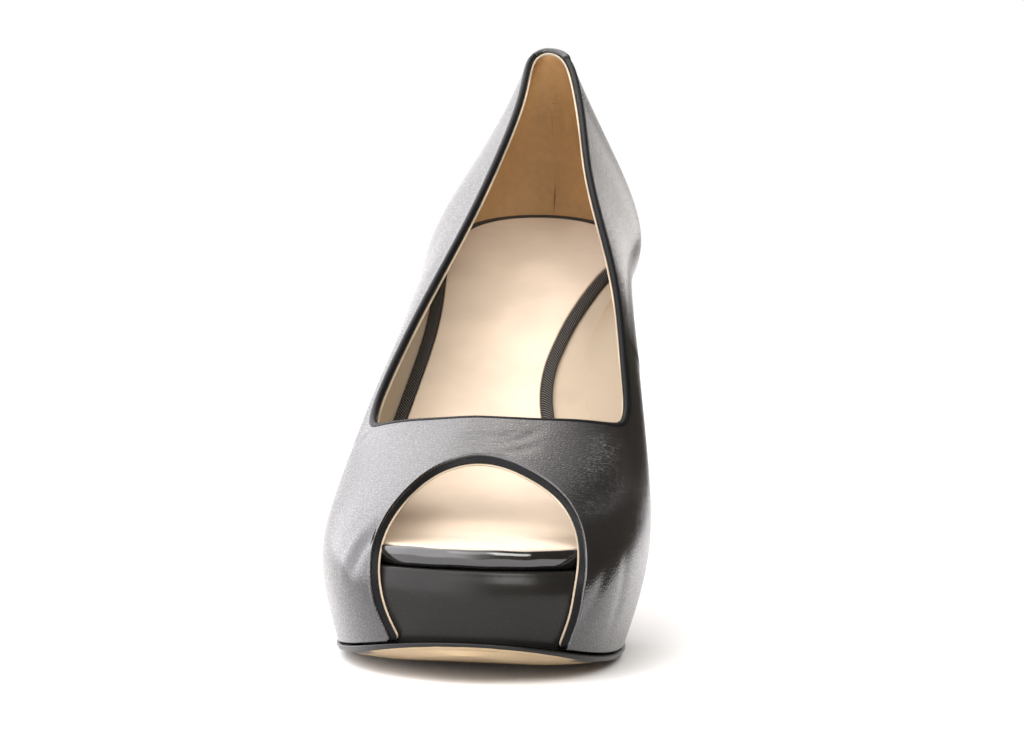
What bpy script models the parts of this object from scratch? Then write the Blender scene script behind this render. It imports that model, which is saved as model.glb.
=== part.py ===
"""Peep-toe platform pump for the right foot.

Every piece is worked out around one last, a smooth surface through ribs that climb from the edge
of the sole to the instep. The toe points to -Y, +X is the inner side of the foot and +Z is up.
"""

from collections import namedtuple

import bpy
import numpy as np

COLLECTION_NAME = "pump_shoe_right"
MM = 0.001

# Driving sizes in millimetres
LENGTH = 222.0
BALL_WIDTH = 85.0
SEAT_HEIGHT = 109.0
COLLAR_RISE = 65.0
TOE_SPRING = 8.1
FOREFOOT_HEIGHT = 31.0
HEEL_BED_HEIGHT = 120.0
LIFT_HEIGHT = 6.0

# Thicknesses in millimetres
WALL = 1.8
GAP = 0.3
FACET_ROOM = 0.15
BED_ROOM = 0.25
PLATFORM_ROOM = 0.5
FLAT_DIP = 0.1
SOLE_THICKNESS = 3.0
SOLE_MARGIN = 0.4
SOLE_TAPER = 0.5
SOLE_EDGE_LIFT = 1.5
SOLE_FLAT_SHARE = 0.5
INSOLE_THICKNESS = 1.5
FOOTBED_THICKNESS = 3.0
ROLL_DEPTH = 2.6
ROLL_ROOM = 0.1
ROLL_DROP = 0.2
ROLL_TUCK = 1.1
TOE_LEAN = 0.4
BINDING_WIDTH = 3.1
BINDING_GAP = 0.45
BINDING_PROUD = 0.7
TAB_THICKNESS = 0.8

# The last: one rib for each row, in percent of LENGTH (along, from the toe), of half BALL_WIDTH
# (side, inner side positive) and of COLLAR_RISE (rise, above the sole line at the rib's foot)
Rib = namedtuple("Rib", "name foot_along foot_side wide_along wide_side wide_rise"
                        " shoulder_along shoulder_side shoulder_rise crest_along crest_side crest_rise")
RIBS = [
    Rib("heel_back",        98.6, -0.5, 100.0,  -0.5, 31.0, 98.0,  -1.0, 69.5, 93.0,   2.0, 117.0),
    Rib("heel_back_outer",  95.7, -39.5, 96.4, -51.5, 29.0, 94.4, -31.5, 68.0, 91.0,  -4.0, 116.0),
    Rib("heel_outer",       87.8, -60.0, 87.2, -72.5, 28.0, 85.6, -36.0, 66.5, 84.2,  -3.0, 111.0),
    Rib("breast_outer",     74.8, -65.5, 73.9, -76.5, 28.0, 73.0, -43.0, 63.5, 73.0,  -5.0,  99.0),
    Rib("waist_outer",      59.5, -73.5, 58.6, -86.5, 32.0, 58.6, -60.0, 69.0, 61.3, -13.0, 101.0),
    Rib("joint_outer",      45.0, -83.5, 44.1, -96.5, 44.5, 45.0, -81.5, 86.0, 50.0, -21.0, 121.5),
    Rib("ball_outer",       30.6, -90.0, 30.2, -103.5, 33.5, 32.4, -88.0, 72.0, 41.4, -22.5, 110.5),
    Rib("toe_outer",        16.2, -82.5, 16.2, -91.5, 33.5, 20.7, -74.5, 61.0, 36.0, -18.0,  96.5),
    Rib("corner_outer",      5.2, -51.5,  5.4, -57.5, 29.0, 12.2, -41.0, 52.0, 33.3, -10.0,  86.0),
    Rib("toe_tip",           0.9,   2.5,  1.1,   2.5, 26.0,  9.0,   2.5, 46.5, 32.4,   0.0,  80.5),
    Rib("corner_inner",      5.9,  56.0,  6.1,  61.5, 29.5, 13.1,  43.5, 52.5, 33.3,  10.0,  86.0),
    Rib("toe_inner",        18.9,  81.0, 18.9,  91.0, 36.0, 23.4,  74.0, 65.0, 36.9,  18.0,  98.0),
    Rib("ball_inner",       33.3,  79.5, 33.3,  96.5, 40.0, 35.1,  84.0, 77.0, 42.8,  22.5, 114.0),
    Rib("joint_inner",      45.9,  54.0, 45.5,  87.5, 48.0, 46.4,  78.0, 89.0, 50.9,  22.5, 121.5),
    Rib("waist_inner",      59.5,  30.0, 58.6,  77.5, 37.0, 58.6,  64.0, 74.0, 61.7,  19.0, 104.0),
    Rib("breast_inner",     74.8,  44.0, 73.9,  73.5, 32.0, 73.0,  51.0, 66.5, 73.0,  13.0, 100.0),
    Rib("heel_inner",       87.8,  62.0, 87.2,  73.0, 29.0, 85.6,  47.5, 66.5, 84.2,   7.5, 111.0),
    Rib("heel_back_inner",  95.7,  42.0, 96.4,  48.5, 29.0, 94.4,  33.0, 68.0, 91.0,   7.0, 116.0),
]

# Top of the sole: spring is a share of TOE_SPRING and climb a share of the way to the heel seat
SoleRow = namedtuple("SoleRow", "along spring climb")
SOLE_LINE = [
    SoleRow(0.0, 1.0, 0.0),
    SoleRow(4.5, 0.66, 0.0),
    SoleRow(9.0, 0.39, 0.0),
    SoleRow(16.0, 0.13, 0.0),
    SoleRow(23.0, 0.0, 0.0),
    SoleRow(29.5, 0.0, 0.0),
    SoleRow(36.0, 0.0, 0.002),
    SoleRow(40.5, 0.0, 0.031),
    SoleRow(45.0, 0.0, 0.102),
    SoleRow(49.5, 0.0, 0.211),
    SoleRow(54.0, 0.0, 0.334),
    SoleRow(58.5, 0.0, 0.452),
    SoleRow(63.0, 0.0, 0.551),
    SoleRow(72.0, 0.0, 0.712),
    SoleRow(81.0, 0.0, 0.835),
    SoleRow(90.0, 0.0, 0.924),
    SoleRow(100.0, 0.0, 1.0),
]

# Top of the insole: climb is a share of the way from FOREFOOT_HEIGHT to HEEL_BED_HEIGHT
BedRow = namedtuple("BedRow", "along climb")
INSOLE_LINE = [
    BedRow(0.0, 0.016),
    BedRow(11.0, 0.004),
    BedRow(20.0, 0.0),
    BedRow(29.5, 0.0),
    BedRow(36.0, 0.017),
    BedRow(45.0, 0.098),
    BedRow(54.0, 0.254),
    BedRow(63.0, 0.439),
    BedRow(72.0, 0.618),
    BedRow(81.0, 0.775),
    BedRow(90.0, 0.896),
    BedRow(100.0, 1.0),
]

# Topline seen from the side: height in millimetres above the floor
TopRow = namedtuple("TopRow", "along height")
TOPLINE = [
    TopRow(24.0, 43.0),
    TopRow(30.0, 49.5),
    TopRow(35.0, 55.5),
    TopRow(40.5, 63.5),
    TopRow(45.0, 73.0),
    TopRow(54.0, 93.0),
    TopRow(63.0, 113.0),
    TopRow(72.0, 131.5),
    TopRow(81.0, 149.0),
    TopRow(90.0, 165.5),
    TopRow(94.5, 171.5),
    TopRow(100.0, 174.0),
]

# Throat seen from above: along and sag in percent of LENGTH, half in percent of half BALL_WIDTH,
# the tilt as a slope and the corner where it meets the topline in millimetres
THROAT_ALONG = 29.8
THROAT_SAG = 5.6
THROAT_HALF = 80.0
THROAT_TILT = 0.075
CORNER_RADIUS = 2.2

# Peep-toe arch seen from the front: height in millimetres, sides in percent of half BALL_WIDTH
ArchRow = namedtuple("ArchRow", "height outer inner")
PEEP_ARCH = [
    ArchRow(9.5, -43.0, 56.5),
    ArchRow(15.5, -50.5, 61.0),
    ArchRow(22.0, -55.0, 63.5),
    ArchRow(29.0, -56.5, 64.5),
    ArchRow(36.0, -54.0, 61.0),
    ArchRow(42.5, -46.0, 50.5),
    ArchRow(48.3, -31.5, 29.0),
]
ARCH_TOP_HEIGHT = 51.7
ARCH_TOP_SIDE = -3.0
ARCH_COLUMNS_SIDE = 48.0

# Insole edge: how far it stays from the inside of the wall, in millimetres on each side
EdgeRow = namedtuple("EdgeRow", "along outer inner")
INSOLE_EDGE = [
    EdgeRow(0.0, 3.9, 3.9),
    EdgeRow(13.0, 3.9, 3.9),
    EdgeRow(19.0, 0.4, 0.4),
    EdgeRow(31.0, 0.4, 0.4),
    EdgeRow(37.0, 3.8, 3.8),
    EdgeRow(46.0, 3.8, 6.0),
    EdgeRow(58.0, 3.8, 14.0),
    EdgeRow(63.0, 3.8, 15.0),
    EdgeRow(68.0, 3.8, 13.5),
    EdgeRow(79.0, 3.8, 7.0),
    EdgeRow(87.0, 3.8, 3.8),
    EdgeRow(100.0, 3.8, 3.8),
]
SIDE_BLEND = 20.0

# Where pieces start and end, in percent of LENGTH from the toe
ROLL_TUCK_START = 3.5
ROLL_END = 11.5
TOE_END = 19.0
BINDING_START = 39.0
PLATFORM_END = 62.0
FOOTBED_DROP_START = 62.0
FOOTBED_DROP_END = 68.0
BREAST_ALONG = 73.4

# Heel below the seat: heights, middle and half width in millimetres, back and front in percent of
# LENGTH, and how far the outline has turned from the seat's shape to the stem's
HeelRow = namedtuple("HeelRow", "back_height back_along front_height front_along middle half_width stem")
HEEL_ROWS = [
    HeelRow(104.0, 98.4, 80.0, 74.0, -0.4, 25.4, 0.04),
    HeelRow(99.5, 97.7, 79.2, 75.0, 0.4, 22.6, 0.10),
    HeelRow(94.0, 96.9, 78.0, 76.6, 1.2, 19.0, 0.22),
    HeelRow(87.0, 96.0, 75.2, 78.8, 1.8, 14.8, 0.45),
    HeelRow(78.0, 95.0, 69.5, 81.2, 2.0, 11.0, 0.75),
    HeelRow(66.0, 94.1, 60.0, 83.5, 1.8, 8.1, 0.95),
    HeelRow(52.0, 93.3, 48.5, 85.3, 1.4, 6.2, 1.0),
    HeelRow(34.0, 92.5, 32.5, 86.8, 0.9, 5.0, 1.0),
    HeelRow(LIFT_HEIGHT, 91.9, LIFT_HEIGHT, 87.6, 0.4, 4.5, 1.0),
]
STEM_POWER = 2.6
LIFT_MARGIN = 0.35
LIFT_ROUNDING = 0.8

# Heel tab: reach along the collar from the back seam and drop below the topline, in millimetres
TAB_OUTER_REACH = 1.5
TAB_INNER_REACH = 10.0
TAB_DROP_SEAM = 4.0
TAB_DROP_END = 5.5

# Mesh counts
WALL_ROWS = 11
COLUMN_COUNTS = (28, 9, 9, 10)
STATIONS = 42
ROUND_SHARE = 0.85
TOE_POWER = 1.5
SOLE_ACROSS = 9
BED_ACROSS = 5
PLATFORM_LEVELS = (0.0, 0.35, 0.7, 1.0)
ROLL_STATIONS = 17
ROLL_SIDES = 10
ROLL_POWER = 2.8
BINDING_STATIONS = 61
BINDING_SIDES = 8
BINDING_POWER = 3.2
BACK_POINTS = 29
TAB_COLUMNS = 14
TAB_ROWS = 5
SHARP_ANGLE = 40.0

# Sampling and searching along the last
RING_SAMPLES = 720
LINE_SAMPLES = 241
OUTLINE_ROWS = 60
OUTLINE_LEVEL = 0.6
EDGE_TRIM = 0.05
FLATTEST_WALL = 0.3
HALVINGS = 36
TOPLINE_LOWEST = 0.05
SEARCH_ROUNDS = 60
SEARCH_EASE = 0.5
LARGEST_PLACE_MOVE = 4.0
LARGEST_LEVEL_MOVE = 0.1
ARCH_TOP_GUESS = 0.8

Finish = namedtuple("Finish", "colour roughness metallic")
FINISHES = {
    "upper": Finish((0.012, 0.012, 0.013), 0.32, 0.0),
    "heel_tab": Finish((0.012, 0.012, 0.013), 0.32, 0.0),
    "outsole": Finish((0.52, 0.32, 0.16), 0.45, 0.0),
    "platform": Finish((0.008, 0.008, 0.008), 0.2, 0.0),
    "toe_roll": Finish((0.008, 0.008, 0.008), 0.18, 0.0),
    "footbed": Finish((0.6, 0.44, 0.3), 0.6, 0.0),
    "insole": Finish((0.8, 0.66, 0.5), 0.55, 0.0),
    "insole_binding": Finish((0.015, 0.014, 0.013), 0.7, 0.0),
    "heel": Finish((0.012, 0.012, 0.012), 0.35, 0.0),
    "top_lift": Finish((0.01, 0.01, 0.01), 0.6, 0.0),
}


def table_curve(keys, values, tangents):
    """A curve through the rows of a table with the given slope at each row."""
    steps = np.diff(keys)

    def curve(position):
        position = np.clip(np.asarray(position, float), keys[0], keys[-1])
        row = np.clip(np.searchsorted(keys, position) - 1, 0, len(keys) - 2)
        share = (position - keys[row]) / steps[row]
        return hermite(share, values[row], values[row + 1], steps[row] * tangents[row],
                       steps[row] * tangents[row + 1])

    return curve


def level_spline(keys, values):
    """A curve through the rows of a table that never swings past them."""
    keys = np.asarray(keys, float)
    values = np.asarray(values, float)
    slopes = np.diff(values) / np.diff(keys)
    before = slopes[:-1]
    after = slopes[1:]
    together = before * after > 0.0
    mean = 2.0 * before * after / np.where(together, before + after, 1.0)
    tangents = np.concatenate([[0.0], np.where(together, mean, 0.0), [0.0]])
    return table_curve(keys, values, tangents)


def natural_spline(keys, values):
    """A smooth curve through the rows of a table, straight at both ends."""
    keys = np.asarray(keys, float)
    values = np.asarray(values, float)
    steps = np.diff(keys)
    slopes = np.diff(values) / steps
    count = len(keys)
    system = np.zeros((count, count))
    right = np.zeros(count)
    system[0, :2] = 2.0, 1.0
    system[-1, -2:] = 1.0, 2.0
    right[0] = 3.0 * slopes[0]
    right[-1] = 3.0 * slopes[-1]
    for row in range(1, count - 1):
        before = 1.0 / steps[row - 1]
        after = 1.0 / steps[row]
        system[row, row - 1:row + 2] = before, 2.0 * (before + after), after
        right[row] = 3.0 * (slopes[row - 1] * before + slopes[row] * after)
    return table_curve(keys, values, np.linalg.solve(system, right))


def hermite(share, start, end, start_tangent, end_tangent):
    """The cubic from start to end with the given tangents."""
    square = share ** 2
    cube = share ** 3
    blend = 3.0 * square - 2.0 * cube
    return ((1.0 - blend) * start + blend * end
            + (cube - 2.0 * square + share) * start_tangent + (cube - square) * end_tangent)


class ClosedSpline:
    """A smooth closed curve through points at the given places along it."""

    def __init__(self, places, points, period):
        self.places = places
        self.points = points
        self.period = period
        count = len(places)
        self.steps = np.diff(np.append(places, places[0] + period))
        system = np.zeros((count, count))
        right = np.zeros_like(points)
        for row in range(count):
            before = 1.0 / self.steps[row - 1]
            after = 1.0 / self.steps[row]
            following = (row + 1) % count
            system[row, row - 1] += before
            system[row, row] += 2.0 * (before + after)
            system[row, following] += after
            right[row] = 3.0 * ((points[row] - points[row - 1]) * before ** 2
                                + (points[following] - points[row]) * after ** 2)
        self.tangents = np.linalg.solve(system, right)

    def __call__(self, place):
        place = np.mod(np.asarray(place, float), self.period)
        row = np.clip(np.searchsorted(self.places, place, side="right") - 1, 0, len(self.places) - 1)
        following = (row + 1) % len(self.places)
        step = self.steps[row][..., None]
        share = (place - self.places[row])[..., None] / step
        return hermite(share, self.points[row], self.points[following], step * self.tangents[row],
                       step * self.tangents[following])


def percent_of_length(along):
    return along * LENGTH / 100.0


def percent_of_side(side):
    return side * BALL_WIDTH / 200.0


def height_line(rows, height_of_row):
    """The height of a table's line as a function of the distance from the toe."""
    alongs = [percent_of_length(row.along) for row in rows]
    return natural_spline(alongs, [height_of_row(row) for row in rows])


SOLE_TOP = SOLE_THICKNESS + GAP
SEAT_CLIMB = SEAT_HEIGHT - SOLE_TOP
sole_height = height_line(
    SOLE_LINE, lambda row: SOLE_TOP - FLAT_DIP + TOE_SPRING * row.spring + SEAT_CLIMB * row.climb)
insole_height = height_line(
    INSOLE_LINE, lambda row: FOREFOOT_HEIGHT + (HEEL_BED_HEIGHT - FOREFOOT_HEIGHT) * row.climb)
topline_height = height_line(TOPLINE, lambda row: row.height)
edge_alongs = [percent_of_length(row.along) for row in INSOLE_EDGE]
edge_outer = level_spline(edge_alongs, [row.outer for row in INSOLE_EDGE])
edge_inner = level_spline(edge_alongs, [row.inner for row in INSOLE_EDGE])


class Last:
    """The shape inside the shoe, given by place around the foot and level from sole (0) to instep (1)."""

    LEVELS = np.array([0.0, 1.0 / 3.0, 2.0 / 3.0, 1.0])

    def __init__(self):
        foot = []
        wide = []
        shoulder = []
        crest = []
        for rib in RIBS:
            along = percent_of_length(rib.foot_along)
            base = float(sole_height(along))
            foot.append((percent_of_side(rib.foot_side), along, base))
            wide.append(self.rib_point(rib.wide_along, rib.wide_side, rib.wide_rise, base))
            shoulder.append(self.rib_point(rib.shoulder_along, rib.shoulder_side, rib.shoulder_rise, base))
            crest.append(self.rib_point(rib.crest_along, rib.crest_side, rib.crest_rise, base))
        loops = np.array([foot, wide, shoulder, crest])
        chords = np.linalg.norm(np.roll(loops[1], -1, axis=0) - loops[1], axis=1)
        self.knots = np.concatenate([[0.0], np.cumsum(chords)[:-1]])
        self.girth = float(chords.sum())
        self.loops = [ClosedSpline(self.knots, loop, self.girth) for loop in loops]

    @staticmethod
    def rib_point(along, side, rise, base):
        return percent_of_side(side), percent_of_length(along), base + rise * COLLAR_RISE / 100.0

    def knot(self, name):
        return self.knots[[rib.name for rib in RIBS].index(name)]

    def point(self, place, level):
        place, level = np.broadcast_arrays(np.asarray(place, float), np.asarray(level, float))
        result = np.zeros(place.shape + (3,))
        for index, own in enumerate(self.LEVELS):
            weight = np.ones_like(level)
            for other in np.delete(self.LEVELS, index):
                weight = weight * (level - other) / (own - other)
            result += weight[..., None] * self.loops[index](place)
        foot = self.loops[0](place)
        fade = np.clip(1.0 - 2.0 * level, 0.0, 1.0) ** 2
        result[..., 2] += fade * (sole_height(foot[..., 1]) - foot[..., 2])
        return result

    def normal(self, place, level):
        step = 0.05
        rise = 0.002
        around = self.point(place + step, level) - self.point(place - step, level)
        upward = self.point(place, level + rise) - self.point(place, level - rise)
        normal = np.cross(around, upward)
        return normal / np.linalg.norm(normal, axis=-1, keepdims=True)

    def level_where(self, place, test, low=0.0, high=1.0):
        """The level on each rib where the test turns positive."""
        low = np.full_like(place, low)
        high = np.full_like(place, high)
        for _ in range(HALVINGS):
            middle = (low + high) / 2.0
            positive = test(self.point(place, middle)) > 0.0
            high = np.where(positive, middle, high)
            low = np.where(positive, low, middle)
        return (low + high) / 2.0

    def ring_at(self, height_of_along, inset, clearance=WALL + GAP + FACET_ROOM):
        """The closed line where the last meets a surface, moved inward along that surface.

        The clearance is measured square to the wall and the inset, which may vary, along the surface.
        """
        place = np.linspace(0.0, self.girth, RING_SAMPLES, endpoint=False)
        level = self.level_where(place, lambda points: points[:, 2] - height_of_along(points[:, 1]))
        points = self.point(place, level)
        normal = self.normal(place, level)
        slope = height_of_along(points[:, 1] + 0.5) - height_of_along(points[:, 1] - 0.5)
        stretch = np.sqrt(1.0 + slope ** 2)
        outward = np.stack([normal[:, 0], (normal[:, 1] + slope * normal[:, 2]) / stretch], axis=1)
        steepness = np.linalg.norm(outward, axis=1)
        outward /= steepness[:, None]
        outward[:, 1] /= stretch
        move = clearance / np.maximum(steepness, FLATTEST_WALL) + inset(points)
        points[:, :2] -= outward * move[:, None]
        points[:, 2] = height_of_along(points[:, 1])
        return points


LAST = Last()


def outline_centre():
    """The point on the floor under the middle of the shoe's outline seen from above."""
    place = np.linspace(0.0, LAST.girth, RING_SAMPLES)[:, None]
    outline = LAST.point(place, np.linspace(0.0, OUTLINE_LEVEL, OUTLINE_ROWS)[None, :])
    side = (outline[..., 0].max() + outline[..., 0].min()) / 2.0
    sole_tip = outline[:, 0, 1].min() - SOLE_MARGIN
    along = (outline[..., 1].max() + sole_tip) / 2.0
    return np.array([side, along, 0.0])


CENTRE = outline_centre()


def new_object(name, vertices, faces):
    """A mesh object in the shoe's collection, moved from toe-based millimetres to centred metres."""
    vertices = np.array(vertices, float).reshape(-1, 3) - CENTRE
    mesh = bpy.data.meshes.new(name)
    mesh.from_pydata((vertices * MM).tolist(), [], faces)
    mesh.shade_smooth()
    mesh.set_sharp_from_angle(angle=np.radians(SHARP_ANGLE))
    finish = FINISHES[name]
    material = bpy.data.materials.new(name)
    material.use_nodes = True
    shader = material.node_tree.nodes["Principled BSDF"]
    shader.inputs["Base Color"].default_value = (*finish.colour, 1.0)
    shader.inputs["Roughness"].default_value = finish.roughness
    shader.inputs["Metallic"].default_value = finish.metallic
    mesh.materials.append(material)
    shape = bpy.data.objects.new(name, mesh)
    bpy.data.collections[COLLECTION_NAME].objects.link(shape)
    return shape


def grid_faces(columns, rows, closed):
    """Quads of a grid stored column by column, facing along columns x rows."""
    faces = []
    for column in range(columns if closed else columns - 1):
        here = column * rows
        there = (column + 1) % columns * rows
        for row in range(rows - 1):
            faces.append((here + row, there + row, there + row + 1, here + row + 1))
    return faces


def loft_faces(rings, points):
    """Side quads and two end caps for rings whose points run anticlockwise seen from the first ring."""
    faces = []
    for ring in range(rings - 1):
        here = ring * points
        there = here + points
        for point in range(points):
            following = (point + 1) % points
            faces.append((here + point, there + point, there + following, here + following))
    faces.append(tuple(range(points)))
    last_ring = (rings - 1) * points
    faces.append(tuple(last_ring + point for point in reversed(range(points))))
    return faces


def solidify(shape, thickness, offset):
    wall = shape.modifiers.new("wall", "SOLIDIFY")
    wall.thickness = thickness * MM
    wall.offset = offset
    wall.use_even_offset = True
    wall.use_quality_normals = True


def collar_opening(points):
    """Positive inside the opening for the foot, with a rounded corner where throat and topline meet."""
    above_side = points[:, 2] - topline_height(points[:, 1])
    sag = percent_of_length(THROAT_SAG) * (points[:, 0] / percent_of_side(THROAT_HALF)) ** 2
    throat = percent_of_length(THROAT_ALONG) + sag + THROAT_TILT * points[:, 0]
    behind_throat = points[:, 1] - throat
    difference = above_side - behind_throat
    return (above_side + behind_throat - np.sqrt(difference ** 2 + 4.0 * CORNER_RADIUS ** 2)) / 2.0


def topline_level(place):
    return LAST.level_where(np.asarray(place, float), collar_opening, low=TOPLINE_LOWEST)


def arch_points(count):
    """Places and levels along the peep-toe arch, from its outer foot over the top to its inner foot."""
    outer = [(percent_of_side(row.outer), row.height) for row in PEEP_ARCH]
    inner = [(percent_of_side(row.inner), row.height) for row in reversed(PEEP_ARCH)]
    knots = np.array(outer + [(percent_of_side(ARCH_TOP_SIDE), ARCH_TOP_HEIGHT)] + inner)
    run = np.concatenate([[0.0], np.cumsum(np.linalg.norm(np.diff(knots, axis=0), axis=1))])
    share = np.linspace(0.0, run[-1], count)
    side = natural_spline(run, knots[:, 0])(share)
    height = natural_spline(run, knots[:, 1])(share)
    tip = LAST.knot("toe_tip")
    corner = LAST.knot("corner_outer")
    place = tip + (corner - tip) * side / LAST.loops[0](corner)[0]
    level = (height - height[0]) / (ARCH_TOP_HEIGHT - height[0]) * ARCH_TOP_GUESS
    step_place = 0.01
    step_level = 0.0005
    for _ in range(SEARCH_ROUNDS):
        here = LAST.point(place, level)
        by_place = (LAST.point(place + step_place, level) - here) / step_place
        by_level = (LAST.point(place, level + step_level) - here) / step_level
        miss_side = side - here[:, 0]
        miss_height = height - here[:, 2]
        size = by_place[:, 0] * by_level[:, 2] - by_place[:, 2] * by_level[:, 0]
        place_move = (miss_side * by_level[:, 2] - miss_height * by_level[:, 0]) / size
        level_move = (by_place[:, 0] * miss_height - by_place[:, 2] * miss_side) / size
        place = place + SEARCH_EASE * np.clip(place_move, -LARGEST_PLACE_MOVE, LARGEST_PLACE_MOVE)
        level = level + SEARCH_EASE * np.clip(level_move, -LARGEST_LEVEL_MOVE, LARGEST_LEVEL_MOVE)
    level[[0, -1]] = 0.0
    return place, np.clip(level, 0.0, 1.0)


def even_steps(place, level, count):
    """Places and levels at even distances along a line on the last, both ends included."""
    points = LAST.point(place, level)
    run = np.concatenate([[0.0], np.cumsum(np.linalg.norm(np.diff(points, axis=0), axis=1))])
    share = np.linspace(0.0, run[-1], count + 1)
    return np.interp(share, run, place), np.interp(share, run, level)


def wall_columns():
    """The lower and upper end of each column of the upper, as places and levels on the last."""
    arch_place, arch_level = arch_points(LINE_SAMPLES)
    middle = LINE_SAMPLES // 2
    throat_place = np.linspace(LAST.knot("ball_outer"), LAST.knot("ball_inner"), LINE_SAMPLES)
    throat_side = LAST.point(throat_place, topline_level(throat_place))[:, 0]
    throat_outer = float(np.interp(-percent_of_side(ARCH_COLUMNS_SIDE), throat_side, throat_place))
    throat_inner = float(np.interp(percent_of_side(ARCH_COLUMNS_SIDE), throat_side, throat_place))
    tip = LAST.knot("toe_tip")
    ends = LAST.girth
    joint_outer = LAST.knot("joint_outer")
    ball_outer = LAST.knot("ball_outer")
    ball_inner = LAST.knot("ball_inner")
    joint_inner = LAST.knot("joint_inner")
    long_side, joint, ball, arch = COLUMN_COUNTS
    lower = []
    upper = []

    def run(foot_line, top_start, top_end, count):
        top = np.linspace(top_start, top_end, LINE_SAMPLES)
        lower.append(np.array(even_steps(*foot_line, count))[:, :-1])
        upper.append(np.array(even_steps(top, topline_level(top), count))[:, :-1])

    def foot(start, end):
        place = np.linspace(start, end, LINE_SAMPLES)
        return place, np.zeros_like(place)

    run(foot(0.0, joint_outer), 0.0, joint_outer, long_side)
    run(foot(joint_outer, ball_outer), joint_outer, ball_outer, joint)
    run(foot(ball_outer, arch_place[0]), ball_outer, throat_outer, ball)
    run((arch_place[:middle + 1], arch_level[:middle + 1]), throat_outer, tip, arch)
    run((arch_place[middle:], arch_level[middle:]), tip, throat_inner, arch)
    run(foot(arch_place[-1], ball_inner), throat_inner, ball_inner, ball)
    run(foot(ball_inner, joint_inner), ball_inner, joint_inner, joint)
    run(foot(joint_inner, ends), joint_inner, ends, long_side)
    return np.concatenate(lower, axis=1), np.concatenate(upper, axis=1)


def build_upper():
    lower, upper = wall_columns()
    share = np.linspace(0.0, 1.0, WALL_ROWS)
    place = lower[0][:, None] + (upper[0] - lower[0])[:, None] * share
    level = lower[1][:, None] + (upper[1] - lower[1])[:, None] * share
    shape = new_object("upper", LAST.point(place, level), grid_faces(len(lower[0]), WALL_ROWS, True))
    solidify(shape, WALL, -1.0)


def build_heel_tab():
    """A thin overlay that wraps the top of the back seam to the inner side."""
    collar = np.linspace(-LAST.girth / 6.0, LAST.girth / 6.0, LINE_SAMPLES)
    collar_points = LAST.point(collar, topline_level(collar))
    run = np.concatenate([[0.0], np.cumsum(np.linalg.norm(np.diff(collar_points, axis=0), axis=1))])
    from_seam = run - np.interp(0.0, collar, run)
    reach = np.linspace(-TAB_INNER_REACH, TAB_OUTER_REACH, TAB_COLUMNS)
    start = np.interp(reach, from_seam, collar)
    top = topline_level(start)
    drop = TAB_DROP_SEAM + (TAB_DROP_END - TAB_DROP_SEAM) * np.clip(-reach / TAB_INNER_REACH, 0.0, 1.0)
    rise = LAST.loops[3](start)[:, 2] - LAST.loops[2](start)[:, 2]
    low = top - drop / rise / 3.0
    share = np.linspace(0.0, 1.0, TAB_ROWS)
    place = np.repeat(start[:, None], TAB_ROWS, axis=1)
    level = low[:, None] + (top - low)[:, None] * share
    points = LAST.point(place, level) + GAP * LAST.normal(place, level)
    shape = new_object("heel_tab", points, grid_faces(TAB_COLUMNS, TAB_ROWS, False))
    solidify(shape, TAB_THICKNESS, 1.0)


class Edges:
    """The outer and inner edge of a flat piece as functions of the distance from the toe."""

    def __init__(self, ring):
        tip = int(np.argmin(ring[:, 1]))
        back = int(np.argmax(ring[:, 1]))
        ring = np.roll(ring, -back, axis=0)
        tip = (tip - back) % len(ring)
        self.outer = ring[tip::-1]
        self.inner = np.vstack([ring[tip:], ring[:1]])
        self.start = ring[tip, 1]
        self.end = ring[0, 1]

    def sides(self, along):
        outer = np.interp(along, self.outer[:, 1], self.outer[:, 0])
        inner = np.interp(along, self.inner[:, 1], self.inner[:, 0])
        return outer, inner


def station_shares(round_end):
    """Even steps along a piece, closing up toward a round toe and, if asked, a round heel."""
    even = np.linspace(0.0, 1.0, STATIONS)
    if round_end:
        return ROUND_SHARE * (1.0 - np.cos(np.pi * even)) / 2.0 + (1.0 - ROUND_SHARE) * even
    return even ** TOE_POWER


def build_slab(name, levels, across, end=None, bottom_lift=None):
    """A piece between stacked edge lines, as sections across the shoe from toe to heel.

    Each level holds its Edges and its height line, from the bottom up. The bottom may curve up
    toward its edges by a lift that depends on the share of the half width.
    """
    shares = station_shares(end is None)
    spread = np.linspace(-1.0, 1.0, across)
    sides = []
    for edges, height in levels:
        start = edges.start + EDGE_TRIM
        stop = edges.end - EDGE_TRIM if end is None else end
        along = start + (stop - start) * shares
        outer, inner = edges.sides(along)
        sides.append((along, outer, inner, height(along)))
    rings = []
    for station in range(STATIONS):
        ring = []
        along, outer, inner, height = [column[station] for column in sides[0]]
        for step in spread:
            lift = 0.0 if bottom_lift is None else bottom_lift(step)
            ring.append((outer + (inner - outer) * (step + 1.0) / 2.0, along, height + lift))
        for side in sides[1:-1]:
            ring.append((side[2][station], side[0][station], side[3][station]))
        along, outer, inner, height = [column[station] for column in sides[-1]]
        for step in spread[::-1]:
            ring.append((outer + (inner - outer) * (step + 1.0) / 2.0, along, height))
        for side in sides[-2:0:-1]:
            ring.append((side[1][station], side[0][station], side[3][station]))
        rings.append(ring)
    return new_object(name, rings, loft_faces(STATIONS, len(rings[0])))


def constant(value):
    return lambda points: np.full(len(points), value)


def insole_inset(points):
    """The insole edge's distance from the inside of the wall, on the outer or inner side."""
    outer = edge_outer(points[:, 1])
    inner = edge_inner(points[:, 1])
    blend = np.clip(points[:, 0] / percent_of_side(SIDE_BLEND) / 2.0 + 0.5, 0.0, 1.0)
    return outer + (inner - outer) * blend


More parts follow.
